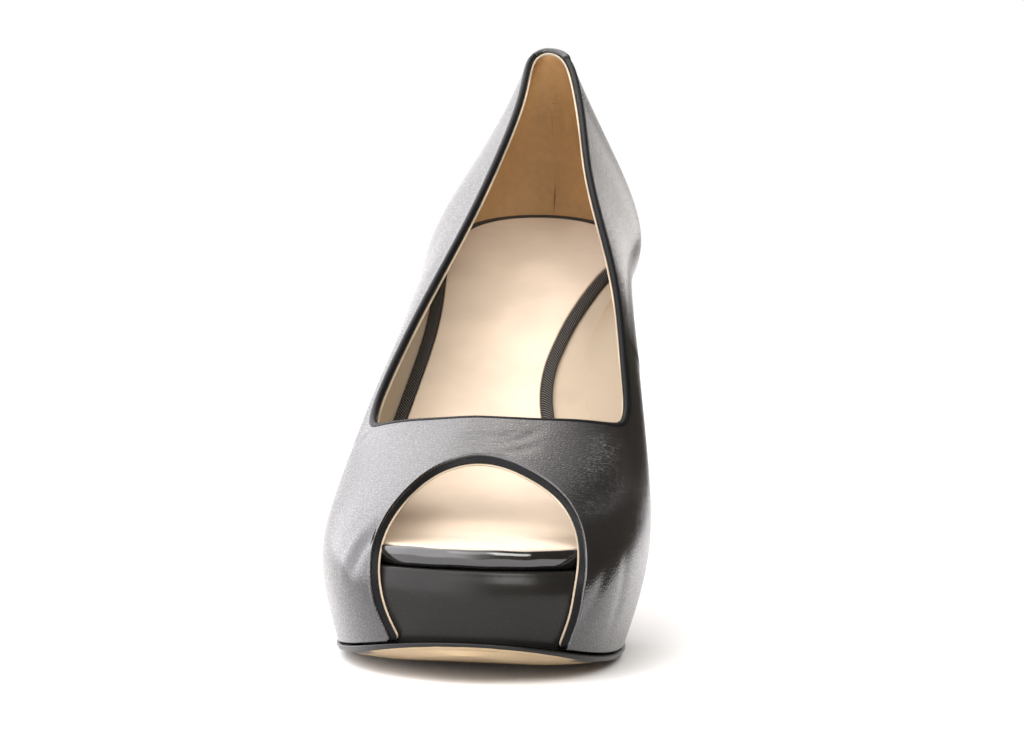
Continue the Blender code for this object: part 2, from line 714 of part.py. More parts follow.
def footbed_inset(points):
    """Clear of the wall all round, and clear of the roll and its lean at the toe."""
    toe_inset = edge_outer(points[:, 1]) + TOE_LEAN
    at_toe = points[:, 1] < percent_of_length(TOE_END)
    return np.where(at_toe, np.maximum(toe_inset, BED_ROOM), BED_ROOM)


def insole_bottom(along):
    return insole_height(along) - INSOLE_THICKNESS


def footbed_top(along):
    return insole_bottom(along) - GAP


def platform_top(along):
    return footbed_top(along) - FOOTBED_THICKNESS - GAP


def footbed_bottom(along):
    start = percent_of_length(FOOTBED_DROP_START)
    share = np.clip((along - start) / (percent_of_length(FOOTBED_DROP_END) - start), 0.0, 1.0)
    blend = share * share * (3.0 - 2.0 * share)
    return (1.0 - blend) * (platform_top(along) + GAP) + blend * (sole_height(along) + GAP)


def outsole_bottom(along):
    return np.maximum(sole_height(along) - GAP - SOLE_THICKNESS, 0.0)


def build_outsole():
    edges = Edges(LAST.ring_at(sole_height, constant(-SOLE_MARGIN), 0.0))
    lower_edges = Edges(LAST.ring_at(sole_height, constant(SOLE_TAPER - SOLE_MARGIN), 0.0))
    end = percent_of_length(BREAST_ALONG) - GAP

    def edge_lift(share):
        over = np.clip((abs(share) - SOLE_FLAT_SHARE) / (1.0 - SOLE_FLAT_SHARE), 0.0, 1.0)
        return SOLE_EDGE_LIFT * over ** 2

    levels = [(lower_edges, outsole_bottom), (edges, lambda along: sole_height(along) - GAP)]
    build_slab("outsole", levels, SOLE_ACROSS, end, edge_lift)


def build_platform():
    end = percent_of_length(PLATFORM_END)
    levels = []
    for share in PLATFORM_LEVELS:
        def height(along, share=share):
            return sole_height(along) + share * (platform_top(along) - sole_height(along))
        levels.append((Edges(LAST.ring_at(height, constant(PLATFORM_ROOM))), height))
    build_slab("platform", levels, BED_ACROSS, end)


def build_footbed():
    levels = []
    for height in (footbed_bottom, footbed_top):
        levels.append((Edges(LAST.ring_at(height, footbed_inset)), height))
    build_slab("footbed", levels, BED_ACROSS)


def build_insole():
    edges = Edges(LAST.ring_at(insole_bottom, insole_inset))
    build_slab("insole", [(edges, insole_bottom), (edges, insole_height)], BED_ACROSS)


def flat_outward(points):
    """Unit directions at right angles to a line seen from above, to its right."""
    tangent = np.gradient(points[:, :2], axis=0)
    outward = np.stack([tangent[:, 1], -tangent[:, 0]], axis=1)
    return outward / np.linalg.norm(outward, axis=1, keepdims=True)


def sweep(name, centres, middle_height, half_depth, half_height, sides, power):
    """A rounded bar along a line, its middle on a height line."""
    outward = flat_outward(centres)
    angle = np.linspace(0.0, 2.0 * np.pi, sides, endpoint=False) + np.pi / sides
    wave_out = np.sign(np.cos(angle)) * np.abs(np.cos(angle)) ** (2.0 / power)
    wave_up = np.sign(np.sin(angle)) * np.abs(np.sin(angle)) ** (2.0 / power)
    rings = np.repeat(centres[:, None, :], sides, axis=1)
    rings[..., :2] += outward[:, None, :] * (half_depth * wave_out)[None, :, None]
    rings[..., 2] = middle_height(rings[..., 1]) + half_height * wave_up
    return new_object(name, rings, loft_faces(len(centres), sides))


def thin_out(points, count):
    """Points at even distances along a line."""
    run = np.concatenate([[0.0], np.cumsum(np.linalg.norm(np.diff(points, axis=0), axis=1))])
    share = np.linspace(0.0, run[-1], count)
    return np.stack([np.interp(share, run, points[:, axis]) for axis in range(3)], axis=1)


def build_toe_roll():
    """The padded roll at the front edge of the footbed, seen in the peep toe."""
    half_height = (FOOTBED_THICKNESS + INSOLE_THICKNESS + GAP) / 2.0 - ROLL_ROOM

    def middle(along):
        return insole_height(along) - half_height - ROLL_DROP

    def inset(points):
        share = np.clip(points[:, 1] / percent_of_length(ROLL_TUCK_START) - 1.0, 0.0, 1.0)
        return ROLL_DEPTH / 2.0 + ROLL_TUCK * share

    ring = LAST.ring_at(middle, inset)
    tip = int(np.argmin(ring[:, 1]))
    ring = np.roll(ring, RING_SAMPLES // 2 - tip, axis=0)
    front = ring[ring[:, 1] < percent_of_length(ROLL_END)]
    centres = thin_out(front, ROLL_STATIONS)
    sweep("toe_roll", centres, middle, ROLL_DEPTH / 2.0, half_height, ROLL_SIDES, ROLL_POWER)


def build_insole_binding():
    """The raised tape round the insole's edge, open at the forefoot."""
    middle_inset = BINDING_GAP + BINDING_WIDTH / 2.0

    def inset(points):
        return insole_inset(points) - middle_inset

    half_height = (INSOLE_THICKNESS + BINDING_PROUD) / 2.0

    def middle(along):
        return insole_bottom(along) + half_height

    ring = LAST.ring_at(insole_bottom, inset)
    tip = int(np.argmin(ring[:, 1]))
    ring = np.roll(ring, -tip, axis=0)
    back = ring[ring[:, 1] > percent_of_length(BINDING_START)]
    centres = thin_out(back, BINDING_STATIONS)
    sweep("insole_binding", centres, middle, BINDING_WIDTH / 2.0, half_height, BINDING_SIDES, BINDING_POWER)


def heel_outlines():
    """The seat's outline, and the stem's as side shares and back-to-front shares, inner corner first."""
    ring = LAST.ring_at(sole_height, constant(GAP), 0.0)
    breast = percent_of_length(BREAST_ALONG)
    back = int(np.argmax(ring[:, 1]))
    ring = np.roll(ring, RING_SAMPLES // 2 - back, axis=0)
    seat = thin_out(ring[ring[:, 1] > breast], BACK_POINTS)
    angle = np.linspace(0.5 * np.pi, -0.5 * np.pi, BACK_POINTS)
    stem_side = np.sign(np.sin(angle)) * np.abs(np.sin(angle)) ** (2.0 / STEM_POWER)
    stem_front = 1.0 - np.abs(np.cos(angle)) ** (2.0 / STEM_POWER)
    return seat, stem_side, stem_front


def build_heel():
    seat, stem_side, stem_front = heel_outlines()
    seat_half = (seat[:, 0].max() - seat[:, 0].min()) / 2.0
    seat_side = (seat[:, 0] - seat[:, 0].min()) / seat_half - 1.0
    seat_front = (seat[:, 1].max() - seat[:, 1]) / (seat[:, 1].max() - seat[:, 1].min())
    top = seat.copy()
    top[:, 2] = sole_height(top[:, 1]) - GAP
    rings = [top]
    for row in HEEL_ROWS:
        side = (1.0 - row.stem) * seat_side + row.stem * stem_side
        front = (1.0 - row.stem) * seat_front + row.stem * stem_front
        back_along = percent_of_length(row.back_along)
        ring = np.stack([
            row.middle + side * row.half_width,
            back_along + front * (percent_of_length(row.front_along) - back_along),
            row.back_height + front * (row.front_height - row.back_height),
        ], axis=1)
        rings.append(ring)
    faces = loft_faces(len(rings), BACK_POINTS)[:-2]
    faces += ladder_cap(0, BACK_POINTS)
    last_ring = (len(rings) - 1) * BACK_POINTS
    faces.append(tuple(last_ring + point for point in reversed(range(BACK_POINTS))))
    new_object("heel", rings, faces)


def ladder_cap(first, points):
    """Rungs across a ring from its open ends to its round middle."""
    faces = []
    for rung in range(points // 2):
        right = first + rung
        left = first + points - 1 - rung
        if left - right == 2:
            faces.append((right, right + 1, left))
        else:
            faces.append((right, right + 1, left - 1, left))
    return faces


def build_top_lift():
    _, stem_side, stem_front = heel_outlines()
    tip = HEEL_ROWS[-1]
    back = percent_of_length(tip.back_along)
    front = percent_of_length(tip.front_along)
    middle = (back + front) / 2.0
    heights = (LIFT_HEIGHT - GAP, LIFT_ROUNDING, 0.0)
    margins = (LIFT_MARGIN, LIFT_MARGIN, LIFT_MARGIN - LIFT_ROUNDING)
    rings = []
    for height, margin in zip(heights, margins):
        depth = (back - front) / 2.0 + margin
        ring = np.stack([
            tip.middle + stem_side * (tip.half_width + margin),
            middle + depth * (1.0 - 2.0 * stem_front),
            np.full(BACK_POINTS, height),
        ], axis=1)
        rings.append(ring)
    new_object("top_lift", rings, loft_faces(len(rings), BACK_POINTS))


def main():
    for old in list(bpy.data.objects):
        bpy.data.objects.remove(old)
    bpy.context.scene.collection.children.link(bpy.data.collections.new(COLLECTION_NAME))
    build_upper()
    build_heel_tab()
    build_outsole()
    build_platform()
    build_toe_roll()
    build_footbed()
    build_insole()
    build_insole_binding()
    build_heel()
    build_top_lift()


main()
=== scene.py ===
"""Dresses the right peep-toe pump: leather, lining, sock, tape, platform, sole, heel and stage.

Every surface is worked out around the shoe's last, in millimetres measured from the toe, with the
inner side of the foot at +x, and is moved into the frame's metres when its mesh is made.
"""

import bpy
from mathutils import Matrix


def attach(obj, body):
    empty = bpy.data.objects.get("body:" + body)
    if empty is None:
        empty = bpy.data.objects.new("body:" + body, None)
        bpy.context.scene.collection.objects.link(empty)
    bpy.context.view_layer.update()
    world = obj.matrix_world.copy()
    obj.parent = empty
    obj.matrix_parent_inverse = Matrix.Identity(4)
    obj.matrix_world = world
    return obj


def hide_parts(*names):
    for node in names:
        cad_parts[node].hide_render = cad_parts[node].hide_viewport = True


bl_info = {
    "name": "Peep-toe pump",
    "version": (1, 0, 0),
    "blender": (4, 5, 0),
    "location": "View3D > Sidebar > Pump",
    "description": "Makes the leather, lining, sole and heel of a peep-toe pump on its frame",
    "category": "Object",
}

from collections import namedtuple

import bmesh
import bpy
import numpy as np
from mathutils import Matrix, Vector

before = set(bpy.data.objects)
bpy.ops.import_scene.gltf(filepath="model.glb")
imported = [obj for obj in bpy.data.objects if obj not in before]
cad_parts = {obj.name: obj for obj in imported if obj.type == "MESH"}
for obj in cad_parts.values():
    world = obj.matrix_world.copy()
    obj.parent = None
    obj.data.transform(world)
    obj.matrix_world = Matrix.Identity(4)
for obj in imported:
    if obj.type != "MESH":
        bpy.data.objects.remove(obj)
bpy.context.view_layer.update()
MM = 0.001


def table(fields, rows):
    """Rows of values with named columns."""
    row_type = namedtuple("Row", fields)
    return [row_type(*row) for row in rows]


# Driving sizes in millimetres
LENGTH = 222.0
BALL_WIDTH = 85.0
SEAT_HEIGHT = 109.0
COLLAR_RISE = 65.0
TOE_SPRING = 8.1
FOREFOOT_HEIGHT = 31.0
HEEL_BED_HEIGHT = 120.0
LIFT_HEIGHT = 6.0

# Thicknesses in millimetres
WALL = 1.8
GAP = 0.3
FACET_ROOM = 0.15
BED_ROOM = 0.25
PLATFORM_ROOM = 0.5
FLAT_DIP = 0.1
SOLE_THICKNESS = 3.0
SOLE_MARGIN = 0.4
SOLE_TAPER = 0.5
SOLE_EDGE_LIFT = 1.5
SOLE_FLAT_SHARE = 0.5
INSOLE_THICKNESS = 1.5
FOOTBED_THICKNESS = 3.0
ROLL_DEPTH = 2.6
ROLL_ROOM = 0.1
ROLL_DROP = 0.2
ROLL_TUCK = 1.1
TOE_LEAN = 0.4
BINDING_WIDTH = 3.1
BINDING_GAP = 0.45
BINDING_PROUD = 0.7

# The last: one rib for each row, in percent of LENGTH (along, from the toe), of half BALL_WIDTH
# (side, inner side positive) and of COLLAR_RISE (rise, above the sole line at the rib's foot)
RIBS = table("name foot_along foot_side wide_along wide_side wide_rise"
             " shoulder_along shoulder_side shoulder_rise crest_along crest_side crest_rise", [
    ("heel_back", 98.6, -0.5, 100.0, -0.5, 31.0, 98.0, -1.0, 69.5, 93.0, 2.0, 117.0),
    ("heel_back_outer", 95.7, -39.5, 96.4, -51.5, 29.0, 94.4, -31.5, 68.0, 91.0, -4.0, 116.0),
    ("heel_outer", 87.8, -60.0, 87.2, -72.5, 28.0, 85.6, -36.0, 66.5, 84.2, -3.0, 111.0),
    ("breast_outer", 74.8, -65.5, 73.9, -76.5, 28.0, 73.0, -43.0, 63.5, 73.0, -5.0, 99.0),
    ("waist_outer", 59.5, -73.5, 58.6, -86.5, 32.0, 58.6, -60.0, 69.0, 61.3, -13.0, 101.0),
    ("joint_outer", 45.0, -83.5, 44.1, -96.5, 44.5, 45.0, -81.5, 86.0, 50.0, -21.0, 121.5),
    ("ball_outer", 30.6, -90.0, 30.2, -103.5, 33.5, 32.4, -88.0, 72.0, 41.4, -22.5, 110.5),
    ("toe_outer", 16.2, -82.5, 16.2, -91.5, 33.5, 20.7, -74.5, 61.0, 36.0, -18.0, 96.5),
    ("corner_outer", 5.2, -51.5, 5.4, -57.5, 29.0, 12.2, -41.0, 52.0, 33.3, -10.0, 86.0),
    ("toe_tip", 0.9, 2.5, 1.1, 2.5, 26.0, 9.0, 2.5, 46.5, 32.4, 0.0, 80.5),
    ("corner_inner", 5.9, 56.0, 6.1, 61.5, 29.5, 13.1, 43.5, 52.5, 33.3, 10.0, 86.0),
    ("toe_inner", 18.9, 81.0, 18.9, 91.0, 36.0, 23.4, 74.0, 65.0, 36.9, 18.0, 98.0),
    ("ball_inner", 33.3, 79.5, 33.3, 96.5, 40.0, 35.1, 84.0, 77.0, 42.8, 22.5, 114.0),
    ("joint_inner", 45.9, 54.0, 45.5, 87.5, 48.0, 46.4, 78.0, 89.0, 50.9, 22.5, 121.5),
    ("waist_inner", 59.5, 30.0, 58.6, 77.5, 37.0, 58.6, 64.0, 74.0, 61.7, 19.0, 104.0),
    ("breast_inner", 74.8, 44.0, 73.9, 73.5, 32.0, 73.0, 51.0, 66.5, 73.0, 13.0, 100.0),
    ("heel_inner", 87.8, 62.0, 87.2, 73.0, 29.0, 85.6, 47.5, 66.5, 84.2, 7.5, 111.0),
    ("heel_back_inner", 95.7, 42.0, 96.4, 48.5, 29.0, 94.4, 33.0, 68.0, 91.0, 7.0, 116.0),
])

# Top of the sole: spring is a share of TOE_SPRING and climb a share of the way to the heel seat
SOLE_LINE = table("along spring climb", [
    (0.0, 1.0, 0.0), (4.5, 0.66, 0.0), (9.0, 0.39, 0.0), (16.0, 0.13, 0.0), (23.0, 0.0, 0.0),
    (29.5, 0.0, 0.0), (36.0, 0.0, 0.002), (40.5, 0.0, 0.031), (45.0, 0.0, 0.102), (49.5, 0.0, 0.211),
    (54.0, 0.0, 0.334), (58.5, 0.0, 0.452), (63.0, 0.0, 0.551), (72.0, 0.0, 0.712), (81.0, 0.0, 0.835),
    (90.0, 0.0, 0.924), (100.0, 0.0, 1.0),
])

# Top of the insole: climb is a share of the way from FOREFOOT_HEIGHT to HEEL_BED_HEIGHT
INSOLE_LINE = table("along climb", [
    (0.0, 0.016), (11.0, 0.004), (20.0, 0.0), (29.5, 0.0), (36.0, 0.017), (45.0, 0.098), (54.0, 0.254),
    (63.0, 0.439), (72.0, 0.618), (81.0, 0.775), (90.0, 0.896), (100.0, 1.0),
])

# Topline seen from the side: height in millimetres above the floor
TOPLINE = table("along height", [
    (24.0, 43.0), (30.0, 49.5), (35.0, 55.5), (40.5, 63.5), (45.0, 73.0), (54.0, 93.0), (63.0, 113.0),
    (72.0, 131.5), (81.0, 149.0), (90.0, 165.5), (94.5, 171.5), (100.0, 174.0),
])

# Throat seen from above: along and sag in percent of LENGTH, half in percent of half BALL_WIDTH,
# the tilt as a slope and the corner where it meets the topline in millimetres
THROAT_ALONG = 29.8
THROAT_SAG = 5.6
THROAT_HALF = 80.0
THROAT_TILT = 0.075
CORNER_RADIUS = 2.2

# Peep-toe arch seen from the front: height in millimetres, sides in percent of half BALL_WIDTH
PEEP_ARCH = table("height outer inner", [
    (9.5, -43.0, 56.5), (15.5, -50.5, 61.0), (22.0, -55.0, 63.5), (29.0, -56.5, 64.5),
    (36.0, -54.0, 61.0), (42.5, -46.0, 50.5), (48.3, -31.5, 29.0),
])
ARCH_TOP_HEIGHT = 51.7
ARCH_TOP_SIDE = -3.0
ARCH_COLUMNS_SIDE = 48.0

# Insole edge: how far it stays from the inside of the wall, in millimetres on each side
INSOLE_EDGE = table("along outer inner", [
    (0.0, 3.9, 3.9), (13.0, 3.9, 3.9), (19.0, 0.4, 0.4), (31.0, 0.4, 0.4), (37.0, 3.8, 3.8),
    (46.0, 3.8, 11.0), (52.5, 3.8, 15.0), (56.0, 3.8, 14.4), (60.0, 3.8, 13.1), (64.0, 3.8, 11.5),
    (68.0, 3.8, 9.8), (73.0, 3.7, 8.7), (79.0, 3.6, 7.6), (87.0, 3.0, 3.4), (94.0, 2.3, 2.3),
    (100.0, 2.3, 2.3),
])
SIDE_BLEND = 20.0

# Where pieces start and end, in percent of LENGTH from the toe
ROLL_TUCK_START = 3.5
ROLL_END = 11.5
TOE_END = 19.0
BINDING_START = 39.0
PLATFORM_END = 62.0
FOOTBED_DROP_START = 62.0
FOOTBED_DROP_END = 68.0
BREAST_ALONG = 73.4

# Heel below the seat: heights, middle and half width in millimetres, back and front in percent of
# LENGTH, and how far the outline has turned from the seat's shape to the stem's
HEEL_ROWS = table("back_height back_along front_height front_along middle half_width stem", [
    (104.0, 98.4, 80.0, 74.0, -0.4, 25.4, 0.04), (99.5, 97.7, 79.2, 75.0, 0.4, 22.6, 0.10),
    (94.0, 96.9, 78.0, 76.6, 1.2, 19.0, 0.22), (87.0, 96.0, 75.2, 78.8, 1.8, 14.8, 0.45),
    (78.0, 95.0, 69.5, 81.2, 2.0, 11.0, 0.75), (66.0, 94.1, 60.0, 83.5, 1.8, 8.1, 0.95),
    (52.0, 93.3, 48.5, 85.3, 1.4, 6.2, 1.0), (34.0, 92.5, 32.5, 86.8, 0.9, 5.0, 1.0),
    (LIFT_HEIGHT, 91.9, LIFT_HEIGHT, 87.6, 0.4, 4.5, 1.0),
])
STEM_POWER = 2.6
LIFT_MARGIN = 0.35
LIFT_ROUNDING = 0.8

# Heel tab: reach along the collar from the back seam and drop below the topline, in millimetres
TAB_INNER_REACH = 10.0
TAB_DROP_SEAM = 4.0
TAB_DROP_END = 5.5

# Sampling and searching along the last
RING_SAMPLES = 720
LINE_SAMPLES = 241
OUTLINE_ROWS = 60
OUTLINE_LEVEL = 0.6
FLATTEST_WALL = 0.3
SLOPE_STEP = 0.5
HALVINGS = 36
TOPLINE_LOWEST = 0.05
SEARCH_ROUNDS = 60
SEARCH_EASE = 0.5
LARGEST_PLACE_MOVE = 4.0
LARGEST_LEVEL_MOVE = 0.1
ARCH_TOP_GUESS = 0.8


def hermite(share, start, end, start_tangent, end_tangent):
    """The cubic from start to end with the given tangents."""
    square = share ** 2
    cube = share ** 3
    blend = 3.0 * square - 2.0 * cube
    return ((1.0 - blend) * start + blend * end
            + (cube - 2.0 * square + share) * start_tangent + (cube - square) * end_tangent)


def table_curve(keys, values, tangents):
    """A curve through the rows of a table with the given slope at each row."""
    steps = np.diff(keys)

    def curve(position):
        position = np.clip(np.asarray(position, float), keys[0], keys[-1])
        row = np.clip(np.searchsorted(keys, position) - 1, 0, len(keys) - 2)
        spread = position.shape + (1,) * (values.ndim - 1)
        step = steps[row].reshape(spread)
        share = (position - keys[row]).reshape(spread) / step
        return hermite(share, values[row], values[row + 1], step * tangents[row], step * tangents[row + 1])

    return curve


def level_spline(keys, values):
    """A curve through the rows of a table that never swings past them."""
    keys = np.asarray(keys, float)
    values = np.asarray(values, float)
    slopes = np.diff(values) / np.diff(keys)
    before = slopes[:-1]
    after = slopes[1:]
    together = before * after > 0.0
    mean = 2.0 * before * after / np.where(together, before + after, 1.0)
    tangents = np.concatenate([[0.0], np.where(together, mean, 0.0), [0.0]])
    return table_curve(keys, values, tangents)


def natural_spline(keys, values):
    """A smooth curve through the rows of a table, straight at both ends; a row may hold many values."""
    keys = np.asarray(keys, float)
    values = np.asarray(values, float)
    steps = np.diff(keys)
    slopes = np.diff(values, axis=0) / steps.reshape((-1,) + (1,) * (values.ndim - 1))
    count = len(keys)
    system = np.zeros((count, count))
    right = np.zeros_like(values)
    system[0, :2] = 2.0, 1.0
    system[-1, -2:] = 1.0, 2.0
    right[0] = 3.0 * slopes[0]
    right[-1] = 3.0 * slopes[-1]
    for row in range(1, count - 1):
        before = 1.0 / steps[row - 1]
        after = 1.0 / steps[row]
        system[row, row - 1:row + 2] = before, 2.0 * (before + after), after
        right[row] = 3.0 * (slopes[row - 1] * before + slopes[row] * after)
    flat = np.linalg.solve(system, right.reshape(count, -1))
    return table_curve(keys, values, flat.reshape(values.shape))


class ClosedSpline:
    """A smooth closed curve through points at the given places along it."""

    def __init__(self, places, points, period):
        self.places = places
        self.points = points
        self.period = period
        count = len(places)
        self.steps = np.diff(np.append(places, places[0] + period))
        system = np.zeros((count, count))
        right = np.zeros_like(points)
        for row in range(count):
            before = 1.0 / self.steps[row - 1]
            after = 1.0 / self.steps[row]
            following = (row + 1) % count
            system[row, row - 1] += before
            system[row, row] += 2.0 * (before + after)
            system[row, following] += after
            right[row] = 3.0 * ((points[row] - points[row - 1]) * before ** 2
                                + (points[following] - points[row]) * after ** 2)
        self.tangents = np.linalg.solve(system, right)

    def __call__(self, place):
        place = np.mod(np.asarray(place, float), self.period)
        row = np.clip(np.searchsorted(self.places, place, side="right") - 1, 0, len(self.places) - 1)
        following = (row + 1) % len(self.places)
        step = self.steps[row][..., None]
        share = (place - self.places[row])[..., None] / step
        return hermite(share, self.points[row], self.points[following], step * self.tangents[row],
                       step * self.tangents[following])


def run_along(points):
    """Distance along a line of points from its start."""
    return np.concatenate([[0.0], np.cumsum(np.linalg.norm(np.diff(points, axis=0), axis=1))])


def percent_of_length(along):
    return along * LENGTH / 100.0


def percent_of_side(side):
    return side * BALL_WIDTH / 200.0


def height_line(rows, height_of_row):
    """The height of a table's line as a function of the distance from the toe."""
    alongs = [percent_of_length(row.along) for row in rows]
    return natural_spline(alongs, [height_of_row(row) for row in rows])


SOLE_TOP = SOLE_THICKNESS + GAP
SEAT_CLIMB = SEAT_HEIGHT - SOLE_TOP
sole_height = height_line(
    SOLE_LINE, lambda row: SOLE_TOP - FLAT_DIP + TOE_SPRING * row.spring + SEAT_CLIMB * row.climb)
insole_height = height_line(
    INSOLE_LINE, lambda row: FOREFOOT_HEIGHT + (HEEL_BED_HEIGHT - FOREFOOT_HEIGHT) * row.climb)
topline_height = height_line(TOPLINE, lambda row: row.height)
edge_alongs = [percent_of_length(row.along) for row in INSOLE_EDGE]
edge_outer = level_spline(edge_alongs, [row.outer for row in INSOLE_EDGE])
edge_inner = level_spline(edge_alongs, [row.inner for row in INSOLE_EDGE])


class Last:
    """The shape inside the shoe, given by place around the foot and level from sole (0) to instep (1)."""

    LEVELS = np.array([0.0, 1.0 / 3.0, 2.0 / 3.0, 1.0])

    def __init__(self):
        foot = []
        wide = []
        shoulder = []
        crest = []
        for rib in RIBS:
            along = percent_of_length(rib.foot_along)
            base = float(sole_height(along))
            foot.append((percent_of_side(rib.foot_side), along, base))
            wide.append(self.rib_point(rib.wide_along, rib.wide_side, rib.wide_rise, base))
            shoulder.append(self.rib_point(rib.shoulder_along, rib.shoulder_side, rib.shoulder_rise, base))
            crest.append(self.rib_point(rib.crest_along, rib.crest_side, rib.crest_rise, base))
        loops = np.array([foot, wide, shoulder, crest])
        chords = np.linalg.norm(np.roll(loops[1], -1, axis=0) - loops[1], axis=1)
        self.knots = np.concatenate([[0.0], np.cumsum(chords)[:-1]])
        self.girth = float(chords.sum())
        self.loops = [ClosedSpline(self.knots, loop, self.girth) for loop in loops]

    @staticmethod
    def rib_point(along, side, rise, base):
        return percent_of_side(side), percent_of_length(along), base + rise * COLLAR_RISE / 100.0

    def knot(self, name):
        return self.knots[[rib.name for rib in RIBS].index(name)]

    def point(self, place, level):
        place, level = np.broadcast_arrays(np.asarray(place, float), np.asarray(level, float))
        result = np.zeros(place.shape + (3,))
        for index, own in enumerate(self.LEVELS):
            weight = np.ones_like(level)
            for other in np.delete(self.LEVELS, index):
                weight = weight * (level - other) / (own - other)
            result += weight[..., None] * self.loops[index](place)
        foot = self.loops[0](place)
        fade = np.clip(1.0 - 2.0 * level, 0.0, 1.0) ** 2
        result[..., 2] += fade * (sole_height(foot[..., 1]) - foot[..., 2])
        return result

    def normal(self, place, level):
        step = 0.05
        rise = 0.002
        around = self.point(place + step, level) - self.point(place - step, level)
        upward = self.point(place, level + rise) - self.point(place, level - rise)
        normal = np.cross(around, upward)
        return normal / np.linalg.norm(normal, axis=-1, keepdims=True)

    def level_where(self, place, test, low=0.0, high=1.0):
        """The level on each rib where the test turns positive."""
        low = np.full_like(place, low)
        high = np.full_like(place, high)
        for _ in range(HALVINGS):
            middle = (low + high) / 2.0
            positive = test(self.point(place, middle)) > 0.0
            high = np.where(positive, middle, high)
            low = np.where(positive, low, middle)
        return (low + high) / 2.0

    def ring_at(self, height_of_along, inset, clearance=WALL + GAP + FACET_ROOM):
        """The closed line where the last meets a surface, moved inward along that surface.

        The clearance is measured square to the wall and the inset, which may vary, along the surface.
        """
        place = np.linspace(0.0, self.girth, RING_SAMPLES, endpoint=False)
        level = self.level_where(place, lambda points: points[:, 2] - height_of_along(points[:, 1]))
        points = self.point(place, level)
        normal = self.normal(place, level)
        rise = height_of_along(points[:, 1] + SLOPE_STEP) - height_of_along(points[:, 1] - SLOPE_STEP)
        slope = rise / (2.0 * SLOPE_STEP)
        stretch = np.sqrt(1.0 + slope ** 2)
        outward = np.stack([normal[:, 0], (normal[:, 1] + slope * normal[:, 2]) / stretch], axis=1)
        steepness = np.linalg.norm(outward, axis=1)
        outward /= steepness[:, None]
        outward[:, 1] /= stretch
        move = clearance / np.maximum(steepness, FLATTEST_WALL) + inset(points)
        points[:, :2] -= outward * move[:, None]
        points[:, 2] = height_of_along(points[:, 1])
        return points


LAST = Last()


def outline_centre():
    """The point on the floor under the middle of the shoe's outline seen from above."""
    place = np.linspace(0.0, LAST.girth, RING_SAMPLES)[:, None]
    outline = LAST.point(place, np.linspace(0.0, OUTLINE_LEVEL, OUTLINE_ROWS)[None, :])
    side = (outline[..., 0].max() + outline[..., 0].min()) / 2.0
    sole_tip = outline[:, 0, 1].min() - SOLE_MARGIN
    along = (outline[..., 1].max() + sole_tip) / 2.0
    return np.array([side, along, 0.0])


CENTRE = outline_centre()


def collar_opening(points):
    """Positive inside the opening for the foot, with a rounded corner where throat and topline meet."""
    above_side = points[:, 2] - topline_height(points[:, 1])
    sag = percent_of_length(THROAT_SAG) * (points[:, 0] / percent_of_side(THROAT_HALF)) ** 2
    throat = percent_of_length(THROAT_ALONG) + sag + THROAT_TILT * points[:, 0]
    behind_throat = points[:, 1] - throat
    difference = above_side - behind_throat
    return (above_side + behind_throat - np.sqrt(difference ** 2 + 4.0 * CORNER_RADIUS ** 2)) / 2.0


def topline_level(place):
    return LAST.level_where(np.asarray(place, float), collar_opening, low=TOPLINE_LOWEST)


def arch_points(count):
    """Places and levels along the peep-toe arch, from its outer foot over the top to its inner foot."""
    outer = [(percent_of_side(row.outer), row.height) for row in PEEP_ARCH]
    inner = [(percent_of_side(row.inner), row.height) for row in reversed(PEEP_ARCH)]
    knots = np.array(outer + [(percent_of_side(ARCH_TOP_SIDE), ARCH_TOP_HEIGHT)] + inner)
    run = run_along(knots)
    share = np.linspace(0.0, run[-1], count)
    side = natural_spline(run, knots[:, 0])(share)
    height = natural_spline(run, knots[:, 1])(share)
    tip = LAST.knot("toe_tip")
    corner = LAST.knot("corner_outer")
    place = tip + (corner - tip) * side / LAST.loops[0](corner)[0]
    level = (height - height[0]) / (ARCH_TOP_HEIGHT - height[0]) * ARCH_TOP_GUESS
    step_place = 0.01
    step_level = 0.0005
    for _ in range(SEARCH_ROUNDS):
        here = LAST.point(place, level)
        by_place = (LAST.point(place + step_place, level) - here) / step_place
        by_level = (LAST.point(place, level + step_level) - here) / step_level
        miss_side = side - here[:, 0]
        miss_height = height - here[:, 2]
        size = by_place[:, 0] * by_level[:, 2] - by_place[:, 2] * by_level[:, 0]
        place_move = (miss_side * by_level[:, 2] - miss_height * by_level[:, 0]) / size
        level_move = (by_place[:, 0] * miss_height - by_place[:, 2] * miss_side) / size
        place = place + SEARCH_EASE * np.clip(place_move, -LARGEST_PLACE_MOVE, LARGEST_PLACE_MOVE)
        level = level + SEARCH_EASE * np.clip(level_move, -LARGEST_LEVEL_MOVE, LARGEST_LEVEL_MOVE)
    level[[0, -1]] = 0.0
    return place, np.clip(level, 0.0, 1.0)


def constant(value):
    return lambda points: np.full(len(points), value)


def insole_inset(points):
    """The insole edge's distance from the inside of the wall, on the outer or inner side."""
    outer = edge_outer(points[:, 1])
    inner = edge_inner(points[:, 1])
    blend = np.clip(points[:, 0] / percent_of_side(SIDE_BLEND) / 2.0 + 0.5, 0.0, 1.0)
    return outer + (inner - outer) * blend


def footbed_inset(points):
    """Clear of the wall all round, and clear of the roll and its lean at the toe."""
    toe_inset = edge_outer(points[:, 1]) + TOE_LEAN
    at_toe = points[:, 1] < percent_of_length(TOE_END)
    return np.where(at_toe, np.maximum(toe_inset, BED_ROOM), BED_ROOM)


def insole_bottom(along):
    return insole_height(along) - INSOLE_THICKNESS


def footbed_top(along):
    return insole_bottom(along) - GAP


def platform_top(along):
    return footbed_top(along) - FOOTBED_THICKNESS - GAP


